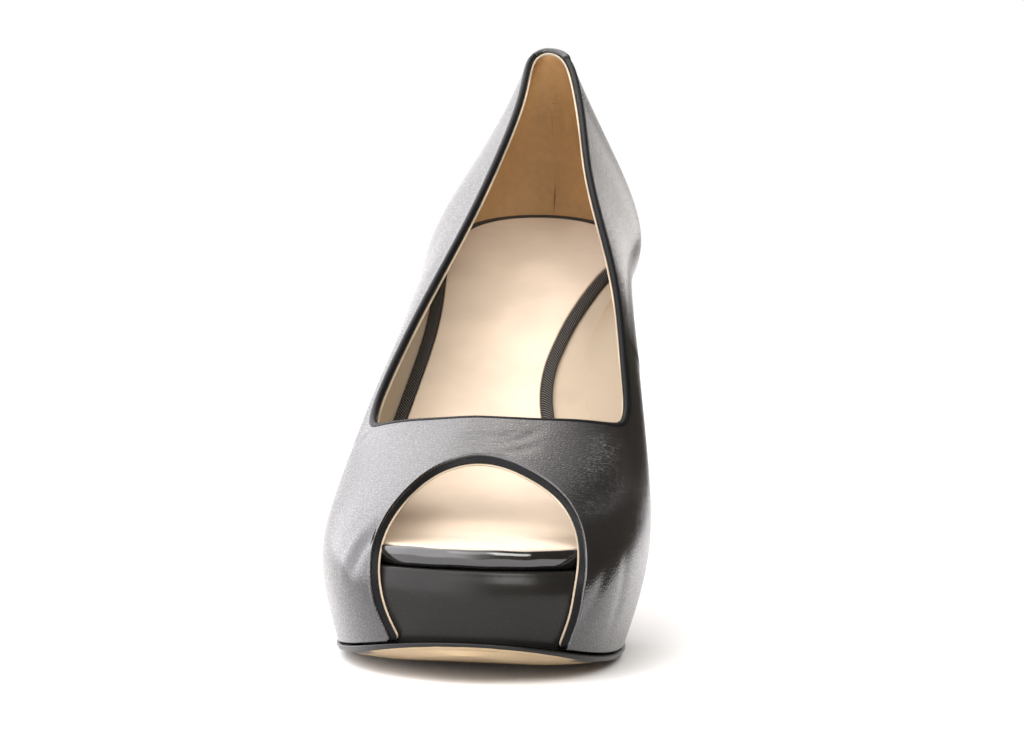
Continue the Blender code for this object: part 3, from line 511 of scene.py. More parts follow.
def footbed_bottom(along):
    start = percent_of_length(FOOTBED_DROP_START)
    share = np.clip((along - start) / (percent_of_length(FOOTBED_DROP_END) - start), 0.0, 1.0)
    blend = share * share * (3.0 - 2.0 * share)
    return (1.0 - blend) * (platform_top(along) + GAP) + blend * (sole_height(along) + GAP)


def outsole_bottom(along):
    return np.maximum(sole_height(along) - GAP - SOLE_THICKNESS, 0.0)


# Leather, lining and rims, in millimetres; the pairs are limits from the edge into the wall
LEATHER = 1.25
LEATHER_STEP = 0.9
LINING = 0.5
LINING_ROOM = 0.04
LINING_STEP = 1.3
LINING_SEAM_ASIDE = 2.8
RIM_DEPTH = 2.0
RIM_TUCK = 0.05
RIM_PROUD = 0.15
RIM_BLEND = (1.5, 6.0)
COLLAR_RIM = (0.05, 2.45)
COLLAR_LINING = (0.6, 1.6)
PEEP_RIM = (-0.6, 1.5)
PEEP_LINING = (-0.8, 1.8)
PEEP_SLOPE = 0.8
EDGE_THICKNESS = 0.68

# Sections of the bands: points round them and the power of their superellipse
RIM_SECTION = (22, 2.2)
PEEP_SECTION = (36, 4.0)
EDGE_SECTION = (12, 3.0)
TAB_SECTION = (40, 3.2)
ROLL_SECTION = (28, 2.2)
TAPE_SECTION = (28, 2.6)

# Relief of the leather and reach of its marks, in millimetres; CREASE_ENDS in shares of a crease,
# LEVEL_STEP and VAMP_RISE in levels, LEVEL_RISE in millimetres for a whole level
BACK_GROOVE = 0.35
BACK_PILLOW = 0.12
BACK_PILLOW_AT = 1.4
BACK_PILLOW_WIDTH = 1.0
SIDE_STEP = 0.15
SIDE_STEP_WIDTH = 0.5
SIDE_STEP_REACH = 9.0
SEAM_FADE = (0.6, 1.4)
CREASE_FADE = (1.0, 3.0)
CREASE_ENDS = (-0.25, 0.3)
LEVEL_RISE = 72.0
LEVEL_STEP = 0.01
MARK_REACH = 6.0
VAMP_REACH = 48.0
VAMP_RISE = (0.72, 0.88)
HEEL_LINING = (150.0, 195.0)

# Heel tab and back stitches, in millimetres; TAB_SEARCH divides the last's girth, STITCH_LENGTH,
# TAPER and RISE are shares of the pitch, the width and the radius, LOW_LEVEL and STEP are levels
TAB_SEARCH = 6.0
TAB_FADE = (7.0, 0.5)
TAB_EDGE = 0.7
TAB_SHOWN = 0.55
TAB_SINK = 0.05
TAB_LESS_DEPTH = 0.1
TAB_MORE_DEPTH = 0.2
STITCH_ASIDE = 0.75
STITCH_RADIUS = 0.34
STITCH_LOW_LEVEL = 0.07
STITCH_LENGTH = 0.82
STITCH_TAPER = 0.98
STITCH_RISE = 0.35
STITCH_STEP = 0.002

# Sole, beds, roll, tape and heel: edge radii (lower, upper) and other sizes in millimetres; the
# roll's swells are shares of its section, the tape's sink starts and ends in percent of LENGTH
SOLE_EDGES = (0.35, 0.5)
INK_TOE_REACH = 30.0
INK_TOE_SIDE = 3.0
INK_TOE_ALONG = (22.0, 6.0)
PLATFORM_EDGES = (0.4, 0.9)
BED_EDGES = (0.5, 0.1)
SOCK_EDGES = (0.2, 0.5)
BED_REACH = 0.9
BED_REACH_ALONG = (45.0, 60.0)
END_BOW = 0.4
ROLL_SLOW_SWELL = 0.03
ROLL_SLOW_LENGTH = 3.1
ROLL_QUICK_SWELL = 0.02
ROLL_QUICK_LENGTH = 1.7
TAPE_EXTRA = 0.2
TAPE_SINK = 0.8
TAPE_SINK_START = 62.0
TAPE_SINK_END = 82.0
LIFT_TOP_ROUND = 0.3
LIFT_BANDS = [3.6, 2.2]

# Rows, columns and points of the fine grids, their zones in millimetres and WELD_REACH in metres
LONG_COLUMNS = 168
JOINT_COLUMNS = 48
BALL_COLUMNS = 50
ARCH_COLUMNS = 62
SEAM_CLUSTER = 0.85
SEAM_REACH = 0.06
LOW_ROWS = 11
MIDDLE_ROWS = 54
TOP_ROWS = 15
ROW_EASE = 1.5
ARC_POINTS = 7
INSIDE_ROWS = 20
SPEED_STEP = 0.01
LOW_ZONE = 4.5
TOP_ZONE = 5.0
PATH_SAMPLES = 4001
COLLAR_STATIONS = 1200
PEEP_STATIONS = 420
PEEP_END_STATIONS = 4.0
TAB_COLUMNS = 120
STITCH_POINTS = 11
STITCH_SIDES = 10
SOLE_STEPS = 220
BED_STEPS = 200
SOLE_SIDES = 14
PLATFORM_SIDES = 20
PLATFORM_LEVELS = 9
BED_FILLS = 40
SOCK_SIDES = 3
ROLL_STATIONS = 260
TAPE_STATIONS = 900
HEEL_POINTS = 110
HEEL_FINE = 90
HEEL_CLOSING = 14
HEEL_CAP = 12
LIFT_CAP = 8
LIFT_TURN = 6
WELD_REACH = 2e-6

# Black leather: BEND and PORE sizes as shares of the grain's, CLOUD_SIZE and seam lines in
# millimetres, the rest are weights and limits of its mixes
BEND_SIZE = 2.5
BEND_AMOUNT = 0.9
PORE_SIZE = 0.3
PORE_HEIGHT = 0.04
PEBBLE_EDGE = 0.42
COAT_EDGE = 0.25
CLOUD_SIZE = 14.0
CLOUD_GLOSS = 0.06
PEBBLE_GLOSS = 0.08
CLOUD_DARK = 0.8
CLOUD_PALE = 1.25
SIDE_LINE = (0.05, 0.4)
SIDE_LINE_DEPTH = 2.0
BACK_LINE = (0.02, 0.3)
BACK_LINE_DEPTH = 4.0
STREAK_STRETCH = (7.0, 1.1, 1.1)
STREAK_SIZE = 1.0
STREAK_HEIGHT = 2.2
STREAK_LIMITS = (0.56, 0.66)
LEATHER_SPECULAR = 0.75
LEATHER_COAT = 0.38
HEEL_STRETCH = (1.6, 1.6, 1.0)

# Lining leather, its cut edge, footbed and sock: noise sizes and bump depths in millimetres
FINE_DETAIL = 3.0
SOFT_ROUGHNESS = 0.6
SOFT_SPECULAR = 0.35
SOFT_DEPTH = 0.05
SOFT_STAIN_SIZE = 16.0
SOFT_STAIN_LIMITS = (0.3, 0.75)
SOFT_PORE_SIZE = 0.35
SOFT_PORE_HEIGHT = 0.5
SOFT_PORE_GLOSS = 0.15
FOLD_SIZE = 1.6
FOLD_STRETCH = (4.0, 4.0, 0.8)
EDGE_PALE = 1.15
EDGE_DARK = 0.7
BED_DARK = 0.9
SOCK_DARK = 0.88
SOCK_ROUGHNESS = 0.55
LINING_ROUGHNESS = 0.62
LINING_BUMP = 0.06
STAIN_SIZE = 9.0
STAIN_WEIGHT = 0.6
STAIN_LEAST = 0.2
STAIN_AWAY = 0.1
STAIN_DARK = 0.55
MOTTLE_SIZE = 2.2
MARK_SIZE = 1.4
MARK_STRETCH = (3.0, 3.0, 0.7)
MARK_LIMITS = (0.62, 0.75)
MARK_LEVELS = (0.6, 0.75)
MARK_SPREAD = (2.0, 5.0)
MARK_DARKNESS = 0.5
MARK_BROWN = (0.06, 0.035, 0.02, 1.0)
THREAD_SIZE = 1.2
THREAD_STRETCH = (1.0, 1.0, 2.0)
THREAD_LIMITS = (0.28, 0.42)
THREAD_START = (0.12, 0.2)
THREAD_END = (0.6, 0.68)
THREAD_LINE = (0.05, 0.3)
LINE_DARKNESS = 0.8
LINE_DEPTH = 4.0

# Polished leather, sole, ink and tape; the ink's heights are shares of the sole's edge
POLISH_CLOUD_SIZE = 6.0
POLISH_GRAIN_SIZE = 0.5
POLISH_GRAIN_GLOSS = 0.08
POLISH_DARK = 0.7
POLISH_WAVE = 2.0
POLISH_DEPTH = 0.05
PANEL_BLACK = (0.011, 0.0102, 0.0092, 1.0)
NEAR_BLACK = 0.008
SOLE_ROUGHNESS = 0.5
SOLE_SPECULAR = 0.25
SOLE_DARK = 0.75
SOLE_GRAIN_SIZE = 0.6
SOLE_GRAIN_GLOSS = 0.1
SOLE_GRAIN_DEPTH = 0.05
INK_BLACK = 0.006
INK_GLOSS = 0.2
INK_WAVE_SIZE = 7.0
INK_WAVE = 0.25
INK_HEIGHT = 0.42
INK_START = 0.1
INK_SOFTNESS = 0.06
INK_ACROSS = (0.9, 0.97)
INK_TOP = (0.9, 0.98)
TAPE_BLACK = 0.002
TAPE_PALE = (0.095, 0.088, 0.08, 1.0)
TAPE_ROUGHNESS = 0.6
TAPE_SPECULAR = 0.12
TAPE_THREAD_SIZE = 0.22
TAPE_THREAD_SHARE = 0.5
RIB_LIMITS = (0.45, 0.85)
RIB_DEPTH = 0.12

# Floor and the camera's nearest point in metres, clouds, distances and lens in millimetres
FLOOR_RADIUS = 14.0
FLOOR_DROP = 0.00005
FLOOR_RINGS = 12
FLOOR_SIDES = 64
FLOOR_CLOUD_SIZE = 400.0
FLOOR_DARK = 0.74
FLOOR_PALE = 0.77
FLOOR_ROUGHNESS = 0.8
CAMERA_TARGET = np.array([0.0, 110.0, 70.0])
CAMERA_AZIMUTH = np.radians(-5.15)
CAMERA_ELEVATION = np.radians(2.0)
CAMERA_ROLL = np.radians(1.5)
CAMERA_DISTANCE = 646.0
CAMERA_LENS = 80.86
CAMERA_SENSOR = 36.0
CAMERA_NEAREST = 0.01

# Lamps in metres and watts
Lamp = namedtuple("Lamp", "name place target width height power colour")
LAMPS = [
    Lamp("front_softbox", (-0.1, -0.9, 1.25), (0.0, 0.0, 0.08), 1.0, 1.0, 7.0, (1.0, 0.98, 0.95)),
    Lamp("side_fill", (0.55, -0.85, 0.9), (0.0, 0.0, 0.08), 0.7, 0.7, 13.5, (1.0, 0.98, 0.95)),
    Lamp("inner_strip", (0.09, 0.19, 0.165), (0.03, 0.06, 0.12), 0.05, 0.09, 0.03, (1.0, 0.96, 0.93)),
    Lamp("toe_fill", (0.001, -0.049, 0.043), (0.001, -0.052, 0.03), 0.032, 0.026, 0.0055, (1.0, 0.98, 0.95)),
    Lamp("heel_fill", (0.004, 0.07, 0.19), (0.004, 0.058, 0.12), 0.05, 0.05, 0.009, (1.0, 0.98, 0.95)),
]

# Glows of the sky: direction, and the cosines where each starts and is full; powers go beside them
Glow = namedtuple("Glow", "aim low high")
OUTER_GLOW = Glow((-1.0, 0.0, 0.0), -0.42, 0.45)
OUTER_POWER = 3.8
HEEL_SHADE = Glow((0.0, 1.0, 0.0), 0.7, 0.98)
SMALL_GLOWS = [
    (Glow((-0.06, 1.0, 0.1), 0.92, 0.99), 1.1),
    (Glow((-0.25, 0.97, 0.0), 0.95, 0.995), 0.7),
    (Glow((0.0, -1.0, 0.05), 0.5, 0.9), 0.3),
]
DUSK = Glow((1.0, 0.0, 0.0), 0.2, 0.6)
DUSK_POWER = 0.1
COOL_SIDE = Glow((-1.0, 0.0, 0.0), -0.1, 0.5)
DUSK_TINT = (1.0, 0.78, 0.55, 1.0)
COOL_TINT = (1.0, 0.975, 1.0, 1.0)
WARM_TINT = (1.0, 0.95, 0.92, 1.0)
SKY_LEAST = 0.02

# Creases of the leather: ends as place (mm round the last) and level, width and height in mm
CREASES = table("start_place start_level end_place end_level width height", [
    (187.0, 0.550, 203.0, 0.738, 1.1, -0.20), (196.0, 0.560, 208.0, 0.700, 0.9, -0.12),
    (266.0, 0.893, 326.0, 0.905, 0.9, -0.24), (286.0, 0.872, 322.0, 0.868, 1.0, -0.20),
    (276.0, 0.912, 312.0, 0.922, 0.8, -0.17), (262.0, 0.540, 258.0, 0.280, 2.2, -0.45),
    (257.0, 0.520, 252.5, 0.260, 2.4, 0.22), (267.0, 0.430, 265.5, 0.180, 1.8, -0.25),
    (330.0, 0.620, 382.0, 0.690, 4.0, -0.45), (334.0, 0.520, 372.0, 0.560, 3.0, 0.20),
    (321.0, 0.100, 329.0, 0.320, 2.4, -0.35), (336.0, 0.080, 341.0, 0.360, 3.0, -0.30),
])

# Seam between the side and the front leather on the inner side: level and place round the last
SIDE_SEAM = table("level place", [
    (0.0, 459.2), (0.05, 457.6), (0.14, 453.8), (0.256, 448.1), (0.394, 439.7), (0.55, 431.0),
    (0.75, 422.0),
])


def bell(distance, width):
    return np.exp(-(distance / width) ** 2)


def smooth_step(low, high, value):
    share = np.clip((value - low) / (high - low), 0.0, 1.0)
    return share * share * (3.0 - 2.0 * share)


def unit(vectors):
    return vectors / np.linalg.norm(vectors, axis=-1, keepdims=True)


def signed_power(values, power):
    return np.sign(values) * np.abs(values) ** power


def round_section(sides, power):
    """Angles round a section and the superellipse's two coordinates there."""
    angle = np.linspace(0.0, 2.0 * np.pi, sides, endpoint=False)
    return angle, signed_power(np.cos(angle), 2.0 / power), signed_power(np.sin(angle), 2.0 / power)


def rounded_ends(run, radius):
    """0 at both ends of a run, rising along a quarter circle to 1."""
    near = np.clip(np.minimum(run - run[0], run[-1] - run) / radius, 0.0, 1.0)
    return np.sqrt(1.0 - (1.0 - near) ** 2)


def resample(points, shares):
    """Points at the given shares of the way along a line."""
    run = run_along(points)
    return np.stack([np.interp(shares * run[-1], run, column) for column in points.T], axis=1)


def even_steps(place, level, shares):
    """Places and levels at the given shares of the way along a line on the last."""
    run = run_along(LAST.point(place, level))
    return np.interp(shares * run[-1], run, place), np.interp(shares * run[-1], run, level)


def seam_shares(count):
    """Steps from 0 to 1 that close up toward the back seam at 0."""
    spacing = 1.0 - SEAM_CLUSTER * np.exp(-np.linspace(0.0, 1.0, count + 1) / SEAM_REACH)
    run = np.concatenate([[0.0], np.cumsum((spacing[1:] + spacing[:-1]) / 2.0)])
    return run / run[-1]


class Wall:
    """The upper's wall as columns from the sole's edge or the toe arch up to the topline."""

    def __init__(self):
        self.lower = []
        self.upper = []
        self.on_arch = []
        self.lay_columns()
        self.lower = np.concatenate(self.lower, axis=1)
        self.upper = np.concatenate(self.upper, axis=1)
        self.on_arch = np.concatenate(self.on_arch)
        self.count = self.lower.shape[1]
        self.low_speed = self.speed(0.0, SPEED_STEP)
        self.top_speed = self.speed(1.0 - SPEED_STEP, 1.0)

    def lay_columns(self):
        """Eight runs of columns, from the back seam round the outer side, the toe and the inner side."""
        arch_place, arch_level = arch_points(LINE_SAMPLES)
        middle = LINE_SAMPLES // 2
        ribs = ("joint_outer", "ball_outer", "toe_tip", "ball_inner", "joint_inner")
        joint_outer, ball_outer, tip, ball_inner, joint_inner = (LAST.knot(rib) for rib in ribs)
        throat_place = np.linspace(ball_outer, ball_inner, LINE_SAMPLES)
        throat_side = LAST.point(throat_place, topline_level(throat_place))[:, 0]
        half = percent_of_side(ARCH_COLUMNS_SIDE)
        throat_outer, throat_inner = np.interp([-half, half], throat_side, throat_place)
        long_side = seam_shares(LONG_COLUMNS)
        joint, ball, arch = (
            np.linspace(0.0, 1.0, count + 1) for count in (JOINT_COLUMNS, BALL_COLUMNS, ARCH_COLUMNS))
        rising = (arch_place[:middle + 1], arch_level[:middle + 1])
        falling = (arch_place[middle:], arch_level[middle:])
        self.run(self.foot(0.0, joint_outer), 0.0, joint_outer, long_side)
        self.run(self.foot(joint_outer, ball_outer), joint_outer, ball_outer, joint)
        self.run(self.foot(ball_outer, arch_place[0]), ball_outer, throat_outer, ball)
        self.run(rising, throat_outer, tip, arch, 1.0)
        self.run(falling, tip, throat_inner, arch, 1.0)
        self.run(self.foot(arch_place[-1], ball_inner), throat_inner, ball_inner, ball)
        self.run(self.foot(ball_inner, joint_inner), ball_inner, joint_inner, joint)
        self.run(self.foot(joint_inner, LAST.girth), joint_inner, LAST.girth, 1.0 - long_side[::-1])

    @staticmethod
    def foot(start, end):
        place = np.linspace(start, end, LINE_SAMPLES)
        return place, np.zeros_like(place)

    def run(self, low_line, top_start, top_end, shares, arch=0.0):
        top = np.linspace(top_start, top_end, LINE_SAMPLES)
        self.lower.append(np.array(even_steps(*low_line, shares[:-1])))
        self.upper.append(np.array(even_steps(top, topline_level(top), shares[:-1])))
        self.on_arch.append(np.full(len(shares) - 1, arch))

    def spot(self, share):
        """Places and levels at the shares up each column."""
        ends = zip(self.lower, self.upper)
        return tuple(low[:, None] + (high - low)[:, None] * share for low, high in ends)

    def speed(self, start, end):
        """Millimetres for each unit of share near one end of the columns."""
        ends = LAST.point(*self.spot(np.broadcast_to(np.array([start, end]), (self.count, 2))))
        return np.linalg.norm(ends[:, 1] - ends[:, 0], axis=-1) / (end - start)

    def shares(self, low, top, low_rows, middle_rows, top_rows):
        """Shares up each column: close rows near both edges and even rows between them."""
        low_ease = np.linspace(0.0, 1.0, low_rows) ** ROW_EASE
        top_ease = np.linspace(1.0, 0.0, top_rows) ** ROW_EASE
        low_share = (low + (LOW_ZONE - low) * low_ease) / self.low_speed[:, None]
        top_share = 1.0 - (top + (TOP_ZONE - top) * top_ease) / self.top_speed[:, None]
        between = np.linspace(0.0, 1.0, middle_rows + 2)[1:-1]
        middle = low_share[:, -1:] + (top_share[:, :1] - low_share[:, -1:]) * between
        return np.concatenate([low_share, middle, top_share], axis=1)

    def from_edges(self, share):
        """Distances from the lower and the upper end, good near each end."""
        return share * self.low_speed[:, None], (1.0 - share) * self.top_speed[:, None]

    def shell(self, low_step, top_step, depth, thickness, relief=None):
        """Closed skin: up the outside, over a round top edge, down the inside, round the lower edge.

        The skin stays a step back from the wall's two ends; the depth is measured inward from the
        last's surface and the relief outward. Returns the points and their places and levels.
        """
        radius = thickness / 2.0
        middle_depth = depth(np.zeros(1), np.zeros(1))[0] + radius
        low = low_step[:, None] + radius
        top = top_step + radius
        share = self.shares(low, top, LOW_ROWS, MIDDLE_ROWS, TOP_ROWS)
        inner_share = self.shares(low, top, INSIDE_ROWS // 4, INSIDE_ROWS // 2, INSIDE_ROWS // 4)
        place, level = self.spot(share)
        inner_place, inner_level = self.spot(inner_share)
        low, top = self.from_edges(share)
        point = LAST.point(place, level)
        normal = LAST.normal(place, level)
        lift = -depth(low, top)
        if relief:
            lift = lift + relief(place, level, low, top)
        outside = point + normal * lift[..., None]
        inner_depth = depth(*self.from_edges(inner_share)) + thickness
        inside = LAST.point(inner_place, inner_level)
        inside -= LAST.normal(inner_place, inner_level) * inner_depth[..., None]
        turn = np.linspace(0.0, np.pi, ARC_POINTS + 2)[1:-1]

        def arc(row, neighbour):
            centre = point[:, row] - normal[:, row] * middle_depth
            onward = unit(point[:, row] - point[:, neighbour])
            across = normal[:, row, None] * np.cos(turn)[None, :, None]
            over = onward[:, None] * np.sin(turn)[None, :, None]
            return centre[:, None] + radius * (across + over)

        def spread(values, inner_values):
            top_values = np.repeat(values[:, -1:], ARC_POINTS, axis=1)
            low_values = np.repeat(values[:, :1], ARC_POINTS, axis=1)
            return np.concatenate([values, top_values, inner_values[:, ::-1], low_values], axis=1)

        skin = np.concatenate([outside, arc(-1, -2), inside[:, ::-1], arc(0, 1)[:, ::-1]], axis=1)
        return skin, spread(place, inner_place), spread(level, inner_level)


def around(place):
    """Distance round the last from the back seam, outer side positive."""
    return np.mod(place + LAST.girth / 2.0, LAST.girth) - LAST.girth / 2.0


side_seam_place = natural_spline([row.level for row in SIDE_SEAM], [row.place for row in SIDE_SEAM])


def side_seam_distance(place, level):
    """Signed distance from the inner side's seam, positive toward the heel."""
    rise = side_seam_place(level + LEVEL_STEP) - side_seam_place(level - LEVEL_STEP)
    slope = rise / (2.0 * LEVEL_STEP) / LEVEL_RISE
    return (place - side_seam_place(level)) / np.sqrt(1.0 + slope ** 2)


def seam_mark(distance):
    return np.minimum(np.abs(distance), MARK_REACH)


def crease_field(place, level):
    """Soft troughs along the creases, fading at their ends."""
    field = np.zeros_like(place)
    for crease in CREASES:
        run_place = crease.end_place - crease.start_place
        run_level = (crease.end_level - crease.start_level) * LEVEL_RISE
        length = np.hypot(run_place, run_level)
        off_place = place - crease.start_place
        off_level = (level - crease.start_level) * LEVEL_RISE
        onward = (off_place * run_place + off_level * run_level) / length
        aside = (off_level * run_place - off_place * run_level) / length
        ends = smooth_step(*CREASE_ENDS, onward / length) * smooth_step(*CREASE_ENDS, 1.0 - onward / length)
        field += crease.height * bell(aside, crease.width) * ends
    return field


def leather_relief(place, level, low, top):
    """Height of the leather over the last: back seam, side seam and creases."""
    seam = around(place)
    height = BACK_PILLOW * bell(np.abs(seam) - BACK_PILLOW_AT, BACK_PILLOW_WIDTH)
    height -= BACK_GROOVE * bell(seam, BACK_GROOVE)
    side = side_seam_distance(place, level)
    height += SIDE_STEP * smooth_step(-SIDE_STEP_WIDTH, SIDE_STEP_WIDTH, side) * bell(side, SIDE_STEP_REACH)
    fade = smooth_step(*CREASE_FADE, top) * smooth_step(*CREASE_FADE, low)
    return height * smooth_step(*SEAM_FADE, top) + crease_field(place, level) * fade


def lining_depth(low, top):
    """Depth of the lining's outer face: behind the thick turned edges and the thinner leather between."""
    near = 1.0 - smooth_step(*RIM_BLEND, np.minimum(low, top))
    return LEATHER + (RIM_DEPTH - LEATHER) * near + LINING_ROOM


def strip(place, level, inward, depth, reach, section, size=None, slope=0.0):
    """Skin of a rounded band along a line on the last, closed on itself unless sizes are given.

    depth and reach are its near and far limits inward from the last's surface and away from the line
    into the wall; they may vary along the line. inward is 1 or -1 and says on which side the wall is.
    A slope lowers the outer face toward the line, while the inner face stays.
    """
    point = LAST.point(place, level)
    normal = LAST.normal(place, level)
    if size is None:
        onward = np.roll(point, -1, axis=0) - np.roll(point, 1, axis=0)
        size = np.ones(len(place))
    else:
        onward = np.gradient(point, axis=0)
    into = inward * unit(np.cross(normal, unit(onward)))
    _, out, over = round_section(*section)
    near, far = (np.broadcast_to(limit, len(place))[:, None] for limit in depth)
    start, end = (np.broadcast_to(limit, len(place))[:, None] for limit in reach)
    lift = -(near + far) / 2.0 + size[:, None] * (far - near) / 2.0 * out
    aside = (start + end) / 2.0 + size[:, None] * (end - start) / 2.0 * over
    cut = slope * (end - aside)
    lift = lift * (1.0 - cut / far) - cut
    return point[:, None] + normal[:, None] * lift[..., None] + into[:, None] * aside[..., None]


def collar_strip(depth, reach, section):
    """A band along the whole topline."""
    place = np.linspace(0.0, LAST.girth, PATH_SAMPLES)
    place, level = even_steps(place, topline_level(place), np.linspace(0.0, 1.0, COLLAR_STATIONS + 1))
    return strip(place[:-1], level[:-1], -1.0, depth, reach, section)


def peep_strip(depth, reach, section, slope=0.0):
    """A band round the peep toe with rounded ends."""
    place, level = even_steps(*arch_points(LINE_SAMPLES), np.linspace(0.0, 1.0, PEEP_STATIONS))
    size = rounded_ends(np.arange(PEEP_STATIONS), PEEP_END_STATIONS)
    return strip(place, level, 1.0, depth, reach, section, size, slope)


def volume(points, faces):
    """Signed volume inside a closed skin of four-sided faces."""
    first, second, third, fourth = (points[faces[:, corner]] for corner in range(4))
    half = np.einsum("ij,ij->i", first, np.cross(second, third))
    other = np.einsum("ij,ij->i", first, np.cross(third, fourth))
    return float((half + other).sum()) / 6.0


def grid_faces(columns, rows, wrap):
    """Four-sided faces of a grid of points; a wrapped direction closes on itself."""
    index = np.arange(columns * rows).reshape(columns, rows)
    if wrap[0]:
        index = np.concatenate([index, index[:1]], axis=0)
    if wrap[1]:
        index = np.concatenate([index, index[:, :1]], axis=1)
    corners = [index[:-1, :-1], index[1:, :-1], index[1:, 1:], index[:-1, 1:]]
    return np.stack(corners, axis=-1).reshape(-1, 4)


def add_piece(name, points, material, slot, wrap, marks=None, replaces=True):
    """A smooth mesh on a grid of points in millimetres, columns by rows, riding the root body.

    Marks are named values at the points. Where only one direction wraps, the points that fall
    together at the ends are joined. If it replaces, the part named like its slot is hidden; if not,
    the slot is not used.
    """
    columns, rows = points.shape[:2]
    faces = grid_faces(columns, rows, wrap)
    flat = ((points - CENTRE) * MM).reshape(-1, 3)
    if volume(flat, faces) < 0.0:
        faces = faces[:, ::-1]
    mesh = bpy.data.meshes.new(name)
    mesh.vertices.add(len(flat))
    mesh.vertices.foreach_set("co", flat.astype(np.float32).ravel())
    mesh.loops.add(faces.size)
    mesh.loops.foreach_set("vertex_index", np.ascontiguousarray(faces, dtype=np.int32).ravel())
    mesh.polygons.add(len(faces))
    mesh.polygons.foreach_set("loop_start", np.arange(0, faces.size, 4, dtype=np.int32))
    mesh.update(calc_edges=True)
    for label, values in (marks or {}).items():
        layer = mesh.attributes.new(label, "FLOAT", "POINT")
        layer.data.foreach_set("value", np.broadcast_to(values, (columns, rows)).astype(np.float32).ravel())
    if not all(wrap):
        shape = bmesh.new()
        shape.from_mesh(mesh)
        bmesh.ops.remove_doubles(shape, verts=shape.verts, dist=WELD_REACH)
        shape.to_mesh(mesh)
        shape.free()
    mesh.shade_smooth()
    mesh.materials.append(material)
    piece = bpy.data.objects.new(name, mesh)
    bpy.context.scene.collection.objects.link(piece)
    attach(piece, "root")
    if replaces:
        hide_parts(slot)


class Outline:
    """An outline seen from above as a closed ring: toe, outer side, back, inner side.

    Its two sides carry the same count of points, so opposite points pair up across the middle.
    """

    def __init__(self, ring, steps, end=None):
        ring = np.roll(ring, -int(np.argmax(ring[:, 1])), axis=0)
        tip = int(np.argmin(ring[:, 1]))
        outer = ring[tip::-1, :2]
        inner = np.concatenate([ring[tip:, :2], ring[:1, :2]])
        if end is not None:
            outer = outer[outer[:, 1] < end]
            inner = inner[inner[:, 1] < end]
            middle = [(outer[-1, 0] + inner[-1, 0]) / 2.0, end + END_BOW]
            outer = np.concatenate([outer, [[outer[-1, 0], end]], [middle]])
            inner = np.concatenate([inner, [[inner[-1, 0], end]], [middle]])
        even = np.linspace(0.0, 1.0, steps + 1)
        closer_ends = 0.5 * even + 0.25 * (1.0 - np.cos(np.pi * even))
        outer = resample(outer, closer_ends)
        inner = resample(inner, closer_ends)
        self.ring = np.concatenate([outer, inner[-2:0:-1]])


def slab(levels, bottom, top, edges, fills=12, corners=5, sides=8):
    """Closed skin of a flat piece: filled in from its middle line, round at its lower and upper edge.

    levels holds shares of the height with their outlines; bottom and top give the height from the
    distance along the shoe and the share of the half width. Returns the points and those shares.
    """
    low_round, top_round = edges
    fill = np.linspace(1.0, 0.0, fills, endpoint=False)
    turn = np.linspace(0.0, np.pi / 2.0, corners)
    side = np.linspace(0.0, 1.0, sides + 2)[1:-1]
    inset = np.concatenate([np.full(fills, low_round), low_round * (1.0 - np.sin(turn)), 0.0 * side,
                            top_round * (1.0 - np.sin(turn[::-1])), np.full(fills, top_round)])
    toward = np.concatenate([fill, 0.0 * turn, 0.0 * side, 0.0 * turn, fill[::-1]])
    blend = np.concatenate([0.0 * fill, 0.0 * turn, side, 0.0 * turn + 1.0, 0.0 * fill + 1.0])
    lift = np.concatenate([0.0 * fill, low_round * (1.0 - np.cos(turn)),
                           low_round * (1.0 - side) - top_round * side,
                           -top_round * (1.0 - np.cos(turn[::-1])), 0.0 * fill])
    heights = np.array([share for share, _ in levels])
    rings = np.array([outline.ring for _, outline in levels])
    above = np.clip(np.searchsorted(heights, blend), 1, len(heights) - 1)
    part = (blend - heights[above - 1]) / (heights[above] - heights[above - 1])
    ring = rings[above - 1] * (1.0 - part)[:, None, None] + rings[above] * part[:, None, None]
    tangent = np.roll(ring, -1, axis=1) - np.roll(ring, 1, axis=1)
    outward = unit(np.stack([-tangent[..., 1], tangent[..., 0]], axis=-1))
    ring = ring - outward * inset[:, None, None]
    pair = (-np.arange(ring.shape[1])) % ring.shape[1]
    ring = ring + (ring[:, pair] - ring) * (toward / 2.0)[:, None, None]
    across = np.broadcast_to((1.0 - toward)[:, None], ring.shape[:2])
    low = bottom(ring[..., 1], across)
    high = top(ring[..., 1], across)
    height = low * (1.0 - blend)[:, None] + high * blend[:, None] + lift[:, None]
    points = np.concatenate([ring, height[..., None]], axis=-1)
    return points.transpose(1, 0, 2), across.T


def flat_height(line):
    return lambda along, across: line(along)


def bar(centres, middle_height, half_depth, half_height, section, swell=None):
    """Closed skin of a rounded bar along a line, its middle on a height line, its ends drawn to points.

    Returns the points, the distance along the bar and the section's outward coordinate.
    """
    tangent = np.gradient(centres[:, :2], axis=0)
    outward = unit(np.stack([tangent[:, 1], -tangent[:, 0]], axis=1))
    angle, out, up = round_section(*section)
    run = run_along(centres)
    size = rounded_ends(run, half_depth)[:, None]
    if swell:
        size = size * swell(run[:, None], angle[None, :])
    rings = np.repeat(centres[:, None, :], len(angle), axis=1)
    rings[..., :2] += outward[:, None, :] * (half_depth * out[None, :] * size)[..., None]
    rings[..., 2] = middle_height(rings[..., 1]) + half_height * up[None, :] * size
    return rings, run, out


def capped(rings, count):
    """Rings with both ends filled by rings drawn in to their middles."""
    share = np.linspace(0.0, 1.0, count)[:-1][:, None, None]
    first = rings[0].mean(axis=0)
    last = rings[-1].mean(axis=0)
    opening = first + (rings[0] - first) * share
    return np.concatenate([opening, rings, last + (rings[-1] - last) * share[::-1]])


